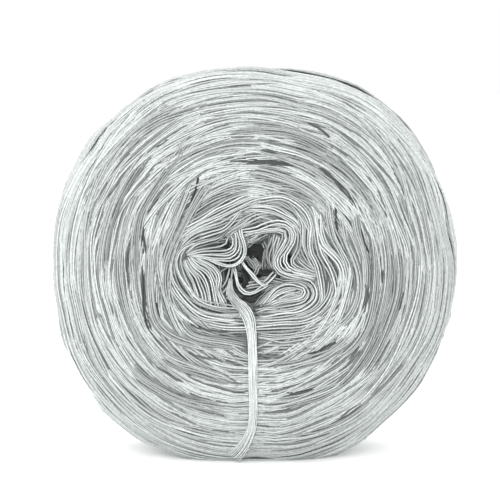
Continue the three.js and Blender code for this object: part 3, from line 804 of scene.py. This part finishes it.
def garlands_of(end):
    """The solid's garlands on an end face: where each is, its row, and how much it leans."""
    for number, row in enumerate(GARLAND_ROWS[end]):
        lean = GARLAND_LEAN * (-1) ** number
        for i in range(row.count):
            centre = row.first + 360 * i / row.count + GARLAND_UNEVEN_ANGLE * math.sin(2.4 * i + row.turn)
            turn = row.turn + GARLAND_UNEVEN_TURN * math.sin(4.1 * i + 2 * row.turn)
            yield math.radians(centre), turn, row, lean


def new_material(name, roughness, specular):
    """A plain material, with its nodes, links and shader."""
    material = bpy.data.materials.new(name)
    material.use_nodes = True
    nodes, links = material.node_tree.nodes, material.node_tree.links
    shader = nodes["Principled BSDF"]
    shader.inputs["Roughness"].default_value = roughness
    shader.inputs["Specular IOR Level"].default_value = specular
    return material, nodes, links, shader


def noise_node(nodes, scale, detail, dimensions="3D"):
    noise = nodes.new("ShaderNodeTexNoise")
    noise.noise_dimensions = dimensions
    noise.inputs["Scale"].default_value = scale
    noise.inputs["Detail"].default_value = detail
    return noise


def thread_map(nodes):
    where = nodes.new("ShaderNodeUVMap")
    where.uv_map = "OFBake"
    return where.outputs["UV"]


def colour_ramp(nodes, links, value, stops):
    """A ramp of colours over a value, its stops from the lowest to the highest."""
    ramp = nodes.new("ShaderNodeValToRGB")
    elements = ramp.color_ramp.elements
    for element, (place, colour) in zip(elements, (stops[0], stops[-1])):
        element.position = place
        element.color = (*colour, 1)
    for place, colour in stops[1:-1]:
        elements.new(place).color = (*colour, 1)
    links.new(value, ramp.inputs[0])
    return ramp.outputs["Color"]


def add_relief(nodes, links, shader, height, strength, distance):
    bump = nodes.new("ShaderNodeBump")
    bump.inputs["Strength"].default_value = strength
    bump.inputs["Distance"].default_value = distance
    links.new(height, bump.inputs["Height"])
    links.new(bump.outputs["Normal"], shader.inputs["Normal"])


def change_along(nodes, links, place, scale, detail, low, high):
    """A brightness that changes along each thread between low and high."""
    noise = noise_node(nodes, scale, detail, "1D")
    links.new(place, noise.inputs["W"])
    change = nodes.new("ShaderNodeMapRange")
    for name, value in (("From Min", 0.3), ("From Max", 0.7), ("To Min", low), ("To Max", high)):
        change.inputs[name].default_value = value
    links.new(noise.outputs[0], change.inputs["Value"])
    return change.outputs["Result"]


def fibre_colour(nodes, links, settings):
    """Colour of a thread from its map: tone and painted shade across, and slow and quick changes along each
    thread.
    """
    parts = nodes.new("ShaderNodeSeparateXYZ")
    links.new(thread_map(nodes), parts.inputs[0])
    # From painted shade deep between threads, through painted shaded flanks, to the thread's own colour and
    # the painted light of the hollows' palest threads.
    stops = [(0, settings.dark), (0.42, settings.middle), (0.8, settings.light), (1, settings.bright)]
    colour = colour_ramp(nodes, links, parts.outputs["X"], stops)
    both = nodes.new("ShaderNodeMath")
    both.operation = "MULTIPLY"
    links.new(change_along(nodes, links, parts.outputs["Y"], 90, 2, 0.94, 1.04), both.inputs[0])
    links.new(change_along(nodes, links, parts.outputs["Y"], 700, 1, 0.88, 1.1), both.inputs[1])
    mixed = nodes.new("ShaderNodeMix")
    mixed.data_type = "RGBA"
    mixed.blend_type = "MULTIPLY"
    mixed.inputs["Factor"].default_value = 1
    links.new(colour, mixed.inputs[6])
    links.new(both.outputs["Value"], mixed.inputs[7])
    return mixed.outputs[2]


def yarn_material(name="spun_yarn"):
    """Spun yarn: fine fibres that catch the light, with a faint relief of twisted fibre."""
    if name in bpy.data.materials:
        return bpy.data.materials[name]
    settings = bpy.context.scene.yarn_cake
    material, nodes, links, shader = new_material(name, settings.roughness, 0.12)
    shader.inputs["Sheen Weight"].default_value = 0.08
    shader.inputs["Sheen Roughness"].default_value = 0.5
    links.new(fibre_colour(nodes, links, settings), shader.inputs["Base Color"])
    fibres = noise_node(nodes, 4200, 1)
    links.new(nodes.new("ShaderNodeTexCoord").outputs["Object"], fibres.inputs["Vector"])
    add_relief(nodes, links, shader, fibres.outputs[0], 0.35, 0.00008)
    return material


def body_material():
    """Yarn painted dark as deep shade: bands of threads that run round the cake."""
    settings = bpy.context.scene.yarn_cake
    material, nodes, links, shader = new_material("yarn_painted_shade", 0.8, 0.2)
    stretch = nodes.new("ShaderNodeMapping")
    stretch.inputs["Scale"].default_value = (9, 150, 1)
    links.new(thread_map(nodes), stretch.inputs["Vector"])
    bands = noise_node(nodes, 1, 2)
    links.new(stretch.outputs["Vector"], bands.inputs["Vector"])
    # Painted shade: the body takes darkened deep and middle colours, since it shows only in the gaps.
    stops = [(0.35, [c * 0.8 for c in settings.dark]), (0.7, [c * 0.42 for c in settings.middle])]
    links.new(colour_ramp(nodes, links, bands.outputs[0], stops), shader.inputs["Base Color"])
    add_relief(nodes, links, shader, bands.outputs[0], 0.6, 0.0004)
    return material


def camera_axes():
    """Where the camera is in millimetres, and its forward, right and up directions."""
    e = math.radians(VIEW_ELEVATION)
    forward = np.array([0, math.cos(e), -math.sin(e)])
    place = np.array(VIEW_AIM) - VIEW_DISTANCE * forward
    right = np.array([1.0, 0, 0])
    return place, forward, right, np.cross(right, forward)


_made = {}


def tree_of_cake():
    """The solid's search tree, made once."""
    if "tree" not in _made:
        _made["tree"] = solid_tree()
    return _made["tree"]


def skin_of_cake():
    """The skin, made once."""
    if "skin" not in _made:
        _made["skin"] = Skin(tree_of_cake())
    return _made["skin"]


class YARNCAKE_OT_camera(bpy.types.Operator):
    """Sets the camera where the photograph was taken from"""

    bl_idname = "yarncake.camera"
    bl_label = "Camera"

    def execute(self, context):
        place, forward, _, _ = camera_axes()
        data = bpy.data.cameras.new("camera")
        data.lens = VIEW_LENS
        data.sensor_width = SENSOR
        data.clip_end = 20
        camera = bpy.data.objects.new("camera", data)
        context.scene.collection.objects.link(camera)
        camera.location = Vector(place * MM)
        camera.rotation_euler = Vector(forward).to_track_quat("-Z", "Y").to_euler()
        context.scene.camera = camera
        return {"FINISHED"}


def smooth_line(points, count):
    """A centripetal curve through points, at this many even steps."""
    p = np.array(points, float)
    p = np.concatenate([[2 * p[0] - p[1]], p, [2 * p[-1] - p[-2]]])
    knots = np.concatenate([[0], np.cumsum(np.sqrt(np.linalg.norm(np.diff(p[:, :3], axis=0), axis=1)))])
    line = []
    for i in range(1, len(p) - 2):
        t = np.linspace(knots[i], knots[i + 1], 12, endpoint=i == len(p) - 3)[:, None]
        k0, k1, k2, k3 = knots[i - 1:i + 3]
        a1 = (k1 - t) / (k1 - k0) * p[i - 1] + (t - k0) / (k1 - k0) * p[i]
        a2 = (k2 - t) / (k2 - k1) * p[i] + (t - k1) / (k2 - k1) * p[i + 1]
        a3 = (k3 - t) / (k3 - k2) * p[i + 1] + (t - k2) / (k3 - k2) * p[i + 2]
        b1 = (k2 - t) / (k2 - k0) * a1 + (t - k0) / (k2 - k0) * a2
        b2 = (k3 - t) / (k3 - k1) * a2 + (t - k1) / (k3 - k1) * a3
        line.append((k2 - t) / (k2 - k1) * b1 + (t - k1) / (k2 - k1) * b2)
    line = np.concatenate(line)
    steps = np.linalg.norm(np.diff(line[:, :3], axis=0), axis=1)
    distance = np.concatenate([[0], np.cumsum(steps)])
    even = np.linspace(0, distance[-1], count)
    return np.stack([np.interp(even, distance, line[:, k]) for k in range(line.shape[1])], -1)


class YARNCAKE_OT_yarn_end(bpy.types.Operator):
    """Lays the loose yarn end down the front face, its four threads of two strands side by side"""

    bl_idname = "yarncake.yarn_end"
    bl_label = "Yarn end"

    POINTS = 76
    STRANDS = 2  # in each thread
    STRAND_RADIUS = 0.64  # as a share of a thread's
    LOOK = (0.0, -1.0, -0.25)  # which way the flat side of the yarn looks
    UNEVEN = 0.12
    SINK = 0.1
    TONES = (0.7, 0.86)

    def width_along(self, t):
        """How wide the yarn is: narrow in the hollow, loose over its edge, fanned out at the end."""
        width = 0.3 + 0.7 * smooth_step(t, 0, 0.12) + 0.8 * smooth_step(t, 0.78, 1)
        return width + 0.55 * smooth_step(t, 0.42, 0.2) * smooth_step(t, 0.06, 0.16)

    def execute(self, context):
        route = smooth_line(YARN_END_ROUTE, self.POINTS)
        line = route / MM
        n = len(line)
        tangent = unit(np.gradient(line, axis=0))
        side = unit(np.cross(tangent, self.LOOK))
        out = np.cross(side, tangent)
        threads = Threads("yarn_end_threads", seed=5, sides=6, painted_flank=0.6)
        rng = threads.rng
        threads.radius *= self.STRAND_RADIUS
        width = self.width_along(np.linspace(0, 1, n))
        count = context.scene.yarn_cake.ply * self.STRANDS
        places = YARN_END_WIDTH / MM / count * (np.arange(count) - (count - 1) / 2)
        sideways = places[:, None] * width + wobble(rng, count, n, self.UNEVEN, 6)
        height = wobble(rng, count, n, self.UNEVEN, 4) - self.SINK
        points = line[None] + side[None] * sideways[..., None] + out[None] * height[..., None]
        threads.add(points, np.broadcast_to(out, points.shape), rng.uniform(*self.TONES, count))
        piece = threads.build(yarn_material(), "yarn_end")
        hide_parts("yarn_end")
        return {"FINISHED"}


class YARNCAKE_OT_wound_body(bpy.types.Operator):
    """Makes the inner body that the threads lie on, painted dark as the shade between them"""

    bl_idname = "yarncake.wound_body"
    bl_label = "Wound body"

    INSET = 2.7
    COARSENESS = 3  # columns and rows of the skin for each of the body's
    OFF_FLOOR = 0.02
    MAP_EDGE = 0.02

    def execute(self, context):
        skin = skin_of_cake()
        rows = np.arange(0, skin.ANGLES, self.COARSENESS)
        columns = np.arange(0, skin.points.shape[1], self.COARSENESS)
        grid = (skin.points - skin.outward * self.INSET)[np.ix_(rows, columns)]
        k, n = grid.shape[:2]
        grid[..., 2] = np.maximum(grid[..., 2], self.OFF_FLOOR)
        ends = np.stack([grid[:, 0].mean(0), grid[:, -1].mean(0)])
        index = np.arange(k * n).reshape(k, n)
        nxt = np.roll(index, -1, 0)
        quads = np.stack([index[:, :-1], index[:, 1:], nxt[:, 1:], nxt[:, :-1]], -1).reshape(-1)
        front = np.stack([np.full(k, k * n), index[:, 0], nxt[:, 0]], -1).reshape(-1)
        back = np.stack([np.full(k, k * n + 1), nxt[:, -1], index[:, -1]], -1).reshape(-1)
        loops = np.concatenate([quads, front, back])
        totals = np.concatenate([np.full(k * (n - 1), 4), np.full(2 * k, 3)])
        verts = np.concatenate([grid.reshape(-1, 3), ends])
        heights = np.linspace(self.MAP_EDGE, 1 - self.MAP_EDGE, n)
        place = np.stack(np.meshgrid(np.arange(k) / k, heights, indexing="ij"), -1)
        maps = np.concatenate([place.reshape(-1, 2), [[0.5, 0.0], [0.5, 1.0]]])[loops]
        wrap = (loops < k * n) & (loops // n == 0) & np.repeat(self.last_faces(k, n), totals)
        maps[wrap, 0] = 1.0
        body = mesh_object("wound_body", verts, loops, totals, maps, body_material())
        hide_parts("wound_cake")
        return {"FINISHED"}

    def last_faces(self, k, n):
        """Which faces close the ring of angles, whose map would otherwise run back across the image."""
        quads = np.repeat(np.arange(k) == k - 1, n - 1)
        fans = np.arange(k) == k - 1
        return np.concatenate([quads, fans, fans])


def turn_at(part, turns, crowding=0.8):
    """A distance from the axis between two limits. Even steps give distances closer together far out."""
    return np.interp(part ** crowding, [0, 1], turns)


class YARNCAKE_OT_faces(bpy.types.Operator):
    """Winds the turns of both end faces: lower turns, garlands over them, and loose yarns on top"""

    bl_idname = "yarncake.faces"
    bl_label = "End faces"

    SEEDS = {"front": 11, "back": 21}
    LOWER_SHEETS = {"front": 76, "back": 60}
    LOWER_THREADS = 16
    LOWER_TURNS = (23, 70)  # least distances from the axis
    LOWER_CLIMB = (1, 8)  # degrees from round
    LOWER_REACH = (45, 75)  # degrees, half a sheet's length 27 mm from the axis, and less further out
    LOWER_LIFT = -0.85
    LOWER_UNEVEN = 0.35
    LOWER_SINK = 0.5
    # Painted shade: the lower turns are painted darker than the garlands over them, more so nearer the
    # axis.
    LOWER_TONES = ([24, 38, 54], [0.46, 0.54, 0.7])
    LINING_SHEETS = 46
    LINING_THREADS = 9
    LINING_TURNS = (3, 30)
    LINING_CLIMB = (1, 6)  # outwards for each radian
    LINING_REACH = (50, 85)
    LINING_LIFT = -0.5
    LINING_UNEVEN = 0.4
    LINING_SINK = 0.6
    # Painted shade: the lining is painted darkest in the middle of the pit, and lighter further out.
    LINING_TONE = 0.1  # in the middle of the pit
    LINING_TONE_RISE = 0.0144  # for each millimetre from there
    GARLAND_THREADS = 3.9  # for each millimetre of the solid's garland
    GARLAND_TONE = 0.765
    GARLAND_LIFT = -0.1
    GARLAND_SINK = 1.1
    CROSSING_YARNS = {"front": 90, "back": 70}
    CROSSING_TURNS = (28, 70)
    CROSSING_CLIMB = (2, 11)
    CROSSING_REACH = (30, 60)  # the same 40 mm from the axis
    CROSSING_LIFT = 0.4
    CROSSING_SINK = 1.6
    CROSSING_TONE = 0.73

    def lower_turns(self, end, seed):
        """The lower turns, nearly round, which fill the face between its garlands."""
        threads = Threads(f"{end}_under_threads", seed, sides=3, step=5.6)
        rng = threads.rng
        sheets = self.LOWER_SHEETS[end]
        for i in range(sheets):
            turn = turn_at((i + 0.5) / sheets, self.LOWER_TURNS)
            climb = turn * math.tan(math.radians(rng.uniform(*self.LOWER_CLIMB)))
            reach = math.radians(rng.uniform(*self.LOWER_REACH)) * 45 / (turn + 18)
            lift = self.LOWER_LIFT - self.LOWER_UNEVEN * rng.random()
            tone = np.interp(turn, *self.LOWER_TONES)
            lay_garland(threads, end, Garland(GOLDEN_TURN * i, turn, climb, reach, self.LOWER_THREADS,
                                              lift, self.LOWER_SINK, tone))
        threads.build(yarn_material(), "wound_yarn")

    def hollow_lining(self, end, seed):
        """The turns deep in the hollow, which line its wall under the crumpled ones."""
        threads = Threads(f"{end}_hollow_under_threads", seed, sides=3, painted_flank=0.5)
        rng = threads.rng
        for i in range(self.LINING_SHEETS):
            turn = turn_at((i + 0.5) / self.LINING_SHEETS, self.LINING_TURNS)
            reach = math.radians(rng.uniform(*self.LINING_REACH))
            lift = self.LINING_LIFT - self.LINING_UNEVEN * rng.random()
            tone = self.LINING_TONE + self.LINING_TONE_RISE * turn
            climb = rng.uniform(*self.LINING_CLIMB)
            lay_garland(threads, end, Garland(GOLDEN_TURN * i, turn, climb, reach, self.LINING_THREADS,
                                              lift, self.LINING_SINK, tone))
        threads.build(yarn_material(), "wound_yarn")

    def garlands(self, threads, end):
        """The threads of the solid's own garlands."""
        for centre, turn, row, lean in garlands_of(end):
            reach = math.radians(row.reach + 12)
            count = int(row.width * self.GARLAND_THREADS)
            lay_garland(threads, end, Garland(centre, turn + 1.2, row.climb * GARLAND_SPREAD, reach, count,
                                              self.GARLAND_LIFT, self.GARLAND_SINK, self.GARLAND_TONE,
                                              lean))

    def crossing_yarns(self, threads, end):
        """Loose yarns of one or two strands that cross the garlands."""
        rng = threads.rng
        ply = bpy.context.scene.yarn_cake.ply
        yarns = self.CROSSING_YARNS[end]
        for i in range(yarns):
            turn = turn_at((i + rng.random()) / yarns, self.CROSSING_TURNS, 0.75)
            climb = turn * math.tan(math.radians(rng.uniform(*self.CROSSING_CLIMB)))
            reach = math.radians(rng.uniform(*self.CROSSING_REACH)) * 50 / (turn + 10)
            count = ply * int(rng.integers(1, 3))
            lay_garland(threads, end, Garland(GOLDEN_TURN * i + 1.1, turn, climb, reach, count,
                                              self.CROSSING_LIFT, self.CROSSING_SINK,
                                              self.CROSSING_TONE))

    def execute(self, context):
        for end, seed in self.SEEDS.items():
            self.lower_turns(end, seed)
            self.hollow_lining(end, seed + 5)
            threads = Threads(f"{end}_garlands", seed + 1)
            self.garlands(threads, end)
            self.crossing_yarns(threads, end)
            threads.build(yarn_material(), "wound_yarn")
        return {"FINISHED"}


def set_back(points, facing):
    """Points of the solid, drawn in near the rim as the skin is, and which way threads look there: straight
    out of the face, and more and more sideways near the rim."""
    aside = points - (0, 0, AXIS_HEIGHT)
    aside[..., 1] = 0
    radius = np.linalg.norm(aside, axis=-1)
    outward = unit(facing + TURNING * smooth_step(radius, *TURNING_ZONE)[..., None] * unit(aside))
    inward = rim_setback(np.arctan2(aside[..., 2], aside[..., 0])) * smooth_step(radius, *SETBACK_ZONE)
    return points - outward * inward[..., None], outward


def depths(tree, starts, aims, missed):
    """How far the solid is from each start along its aim, in millimetres, smoothed along each thread."""
    depth = np.full(aims.shape[:2], missed)
    for i, j in np.ndindex(*depth.shape):
        distance = tree.ray_cast(starts[i, j].tolist(), aims[i, j].tolist())[3]
        if distance is not None:
            depth[i, j] = distance / MM
    for _ in range(3):
        depth = blurred_along(depth)
    return depth


def seen_points(tree, pixels, lift):
    """Points of the wound form under picture pixels, moved towards the camera by lift, and their outward
    directions. pixels is (threads, points, 2)."""
    place, forward, right, up = camera_axes()
    scale = SENSOR / VIEW_LENS / PICTURE
    x = (pixels[..., 0] - PICTURE / 2) * scale
    y = (PICTURE / 2 - pixels[..., 1]) * scale
    rays = unit(forward + x[..., None] * right + y[..., None] * up)
    depth = depths(tree, np.broadcast_to(place * MM, rays.shape), rays, VIEW_DISTANCE)
    return set_back(place + rays * (depth - lift)[..., None], -rays)


def behind_points(tree, pixels, lift):
    """The same for the back: the lines turned round, and laid on it from behind."""
    h = HOLLOWS["back"]
    x = (pixels[..., 0] - BACK_MIDDLE[0]) * BACK_PIXEL
    z = (BACK_MIDDLE[1] - pixels[..., 1]) * BACK_PIXEL
    c, s = math.cos(BACK_TURN), math.sin(BACK_TURN)
    x, z = h.lip_x + c * x - s * z, AXIS_HEIGHT + h.lip_z + s * x + c * z
    starts = np.stack([x, np.full(x.shape, BACK_REACH), z], -1)
    outward = np.array([0.0, 1.0, 0.0])
    depth = depths(tree, starts * MM, np.broadcast_to(-outward, starts.shape), BACK_REACH)
    return set_back(starts - outward * (depth - lift)[..., None], outward)


def lay_bundle(threads, bundle, base, place_points):
    """Lays a bundle of threads under its given line."""
    rng = threads.rng
    k = bundle.threads
    rough = smooth_line(bundle.line, 40)
    length = np.linalg.norm(np.diff(rough, axis=0), axis=1).sum()
    n = max(8, int(length / (SHORT_LINE_STEP if length < LONG_LINE else LONG_LINE_STEP)))
    line = smooth_line(bundle.line, n)
    along = unit(np.gradient(line, axis=0))
    side = np.stack([-along[:, 1], along[:, 0]], -1)
    places = bundle_places(rng, k)
    t = np.linspace(0, 1, n)
    width = np.interp(t, [0, 0.5, 1], bundle.width)
    sideways = places[:, None] * width[None] + wobble(rng, k, n, BUNDLE_UNEVEN, 3)
    pixels = line[None] + side[None] * sideways[..., None]

    start, middle, end = bundle.lift
    early, share = BUNDLE_RISE
    rise = [start, start + share * (middle - start), middle, end + share * (middle - end), end]
    lift = base + np.interp(t, [0, early, 0.5, 1 - early, 1], rise)
    edge = (2 * np.abs(places) / max(np.ptp(places), 1e-6)) ** 2 * (k > 2)
    lift = lift[None] - YARN_EDGE_DROP * edge[:, None] + wobble(rng, k, n, BUNDLE_ROUGH, 1.5)
    points, outward = place_points(tree_of_cake(), pixels, lift + rng.normal(0, BUNDLE_LEVELS, (k, 1)))

    # Painted light: threads deep in the hollow are painted lighter the deeper they lie.
    sunk_painted_light = np.interp(HALF_THICKNESS - np.abs(points[..., 1]), SUNK, SUNK_PAINTED_LIGHT)
    # Painted shade on the bundle's edge threads.
    tones = bundle_tones(rng, k, bundle.tone) - BUNDLE_EDGE_SHADE * edge
    threads.add(points, outward, np.clip(tones[:, None] * sunk_painted_light, 0, 1))


def face_yarns():
    """The yarns over the rest of the face as bundles."""
    for count, tone, line in FACE_YARNS:
        width = [(count - 1) * FACE_YARN_SPACING * share for share in FACE_YARN_WIDTHS]
        # Dark yarns, painted shade, lie lower than the rest.
        yield Bundle(count, tone, SHADE_LIFT if tone < SHADE_TONE else FACE_YARN_LIFT, width, line)


class YARNCAKE_OT_hollows(bpy.types.Operator):
    """Lays the crumpled threads in and round both hollows, and the topmost yarns of both faces"""

    bl_idname = "yarncake.hollows"
    bl_label = "Hollows"

    SEEDS = {"front": 41, "back": 51}

    def bundles(self, threads, bundles, bases, place_points):
        """Lays bundles one over another, and makes their mesh."""
        for bundle, base in zip(bundles, np.linspace(*bases, len(bundles))):
            lay_bundle(threads, bundle, base, place_points)
        threads.build(yarn_material(), "wound_yarn")

    def execute(self, context):
        for end, place_points in (("front", seen_points), ("back", behind_points)):
            seed = self.SEEDS[end]
            yarns = Threads(f"{end}_top_yarns", seed + 100)
            self.bundles(yarns, list(face_yarns()), YARN_BASE, place_points)
            crumpled = Threads(f"{end}_hollow_threads", seed, painted_flank=0.55)
            self.bundles(crumpled, HOLLOW_BUNDLES, BUNDLE_BASE, place_points)
        return {"FINISHED"}


class YARNCAKE_OT_rim(bpy.types.Operator):
    """Winds the rim with yarns that cross it both ways"""

    bl_idname = "yarncake.rim"
    bl_label = "Rim"

    # lean is in degrees, sheets is how many lie round the rim, and threads how many each of them has.
    Layer = namedtuple("Layer", "piece lean sheets threads lift tone")
    LAYERS = [
        Layer("rim_under_threads", 20, 15, 18, -1.9, 0.68),
        Layer("rim_under_threads", -23, 14, 18, -1.5, 0.7),
        Layer("rim_threads", 26, 13, 16, -1.1, 0.7),
        Layer("rim_threads", -28, 17, 9, -0.8, 0.68),
        Layer("rim_threads", 24, 10, 4, -0.5, 0.68),
    ]
    HALF_WIDTH = 39.0
    END_SINK = 0.9
    SEED = 31
    # Painted shade at the flanks of the rim's threads, kept light.
    PAINTED_FLANK = 0.9
    POINTS = {"rim_under_threads": 32, "rim_threads": 38}
    SIDES = {"rim_under_threads": 3, "rim_threads": 4}

    def sheet(self, threads, layer, number):
        """Lays one sheet of yarns across the rim, from one face to the other."""
        rng = threads.rng
        t = np.linspace(-1, 1, self.POINTS[threads.name])
        half = self.HALF_WIDTH * rng.uniform(0.88, 1.06)
        across = half * np.sin(t * np.pi / 2)
        slope = math.tan(math.radians(layer.lean * rng.uniform(0.9, 1.1)))
        start = 2 * math.pi * (number + 0.5 * rng.random()) / layer.sheets
        angle = start + half * np.pi / 2 * t / slope / RIM_RADIUS
        height = layer.lift - self.END_SINK * smooth_step(np.abs(t), 0.75, 1.0)
        ply = bpy.context.scene.yarn_cake.ply
        yarns = yarns_abreast(rng, layer.threads, ply, layer.tone, YARN_EDGE_SHADE / 2)
        lay_sheet(threads, skin_of_cake(), angle, across, height, yarns, np.ones(len(t)))

    def execute(self, context):
        pieces = {}
        for layer in self.LAYERS:
            name = layer.piece
            if name not in pieces:
                pieces[name] = Threads(name, self.SEED + len(pieces), self.SIDES[name], self.PAINTED_FLANK)
            for number in range(layer.sheets):
                self.sheet(pieces[name], layer, number)
        for threads in pieces.values():
            threads.build(yarn_material(), "wound_yarn")
        return {"FINISHED"}


class YARNCAKE_OT_studio(bpy.types.Operator):
    """Sets up the white studio: floor, surround and soft lights"""

    bl_idname = "yarncake.studio"
    bl_label = "Studio"

    FLOOR_REACH = 6
    AIM = (0, 0, 0.06)
    MAIN_SHARE = 0.3  # the upper left light's power, as a share of the front light's
    LIGHTS = {  # place, size
        "front_light": ((-0.1, -1.1, 0.3), 0.8),
        "main_light": ((-0.4, -0.7, 0.8), 0.9),
        "top_light": ((0.0, 0.25, 1.1), 0.9),
        "left_light": ((-1.1, 0.25, 0.35), 0.9),
        "right_light": ((1.1, 0.25, 0.35), 0.9),
    }

    def execute(self, context):
        settings = context.scene.yarn_studio
        self.surround(context, settings)
        self.floor(context, settings)
        powers = {"front_light": settings.key, "main_light": settings.key * self.MAIN_SHARE}
        for name, (place, size) in self.LIGHTS.items():
            self.light(context, name, place, size, powers.get(name, settings.rim))
        return {"FINISHED"}

    def surround(self, context, settings):
        world = bpy.data.worlds.new("studio")
        context.scene.world = world
        world.use_nodes = True
        background = world.node_tree.nodes["Background"]
        background.inputs["Color"].default_value = (1, 1, 1, 1)
        background.inputs["Strength"].default_value = settings.surround
        context.scene.view_settings.view_transform = "Standard"

    def floor(self, context, settings):
        mesh = bpy.data.meshes.new("floor")
        r = self.FLOOR_REACH
        mesh.from_pydata([(-r, -r, 0), (r, -r, 0), (r, r, 0), (-r, r, 0)], [], [(0, 1, 2, 3)])
        floor = bpy.data.objects.new("floor", mesh)
        context.scene.collection.objects.link(floor)
        paper, _, _, shader = new_material("floor_paper", 0.9, 0.1)
        shader.inputs["Base Color"].default_value = (*settings.floor, 1)
        shader.inputs["Emission Color"].default_value = (1, 1, 1, 1)
        shader.inputs["Emission Strength"].default_value = settings.floor_glow
        mesh.materials.append(paper)

    def light(self, context, name, place, size, power):
        data = bpy.data.lights.new(name, "AREA")
        data.size = size
        data.energy = power
        lamp = bpy.data.objects.new(name, data)
        context.scene.collection.objects.link(lamp)
        lamp.location = place
        lamp.rotation_euler = (Vector(self.AIM) - lamp.location).to_track_quat("-Z", "Y").to_euler()


STEPS = [
    YARNCAKE_OT_camera,
    YARNCAKE_OT_yarn_end,
    YARNCAKE_OT_wound_body,
    YARNCAKE_OT_faces,
    YARNCAKE_OT_hollows,
    YARNCAKE_OT_rim,
    YARNCAKE_OT_studio,
]


class YARNCAKE_PT_panel(bpy.types.Panel):
    """Lists the steps that make the yarn cake"""

    bl_label = "Yarn Cake"
    bl_idname = "YARNCAKE_PT_panel"
    bl_space_type = "VIEW_3D"
    bl_region_type = "UI"
    bl_category = "Yarn Cake"

    def draw(self, context):
        for name in ("yarn_cake", "yarn_studio"):
            settings = getattr(context.scene, name)
            for prop in settings.bl_rna.properties:
                if prop.identifier not in ("rna_type", "name"):
                    self.layout.prop(settings, prop.identifier)
        for step in STEPS:
            self.layout.operator(step.bl_idname)


CLASSES = [YarnSettings, StudioSettings, *STEPS, YARNCAKE_PT_panel]


def register():
    for cls in CLASSES:
        bpy.utils.register_class(cls)
    bpy.types.Scene.yarn_cake = PointerProperty(type=YarnSettings)
    bpy.types.Scene.yarn_studio = PointerProperty(type=StudioSettings)


def unregister():
    del bpy.types.Scene.yarn_studio
    del bpy.types.Scene.yarn_cake
    for cls in reversed(CLASSES):
        bpy.utils.unregister_class(cls)


def main():
    """Makes every piece in order."""
    register()
    for step in STEPS:
        group, name = step.bl_idname.split(".")
        getattr(getattr(bpy.ops, group), name)()


if __name__ == "__main__":
    main()
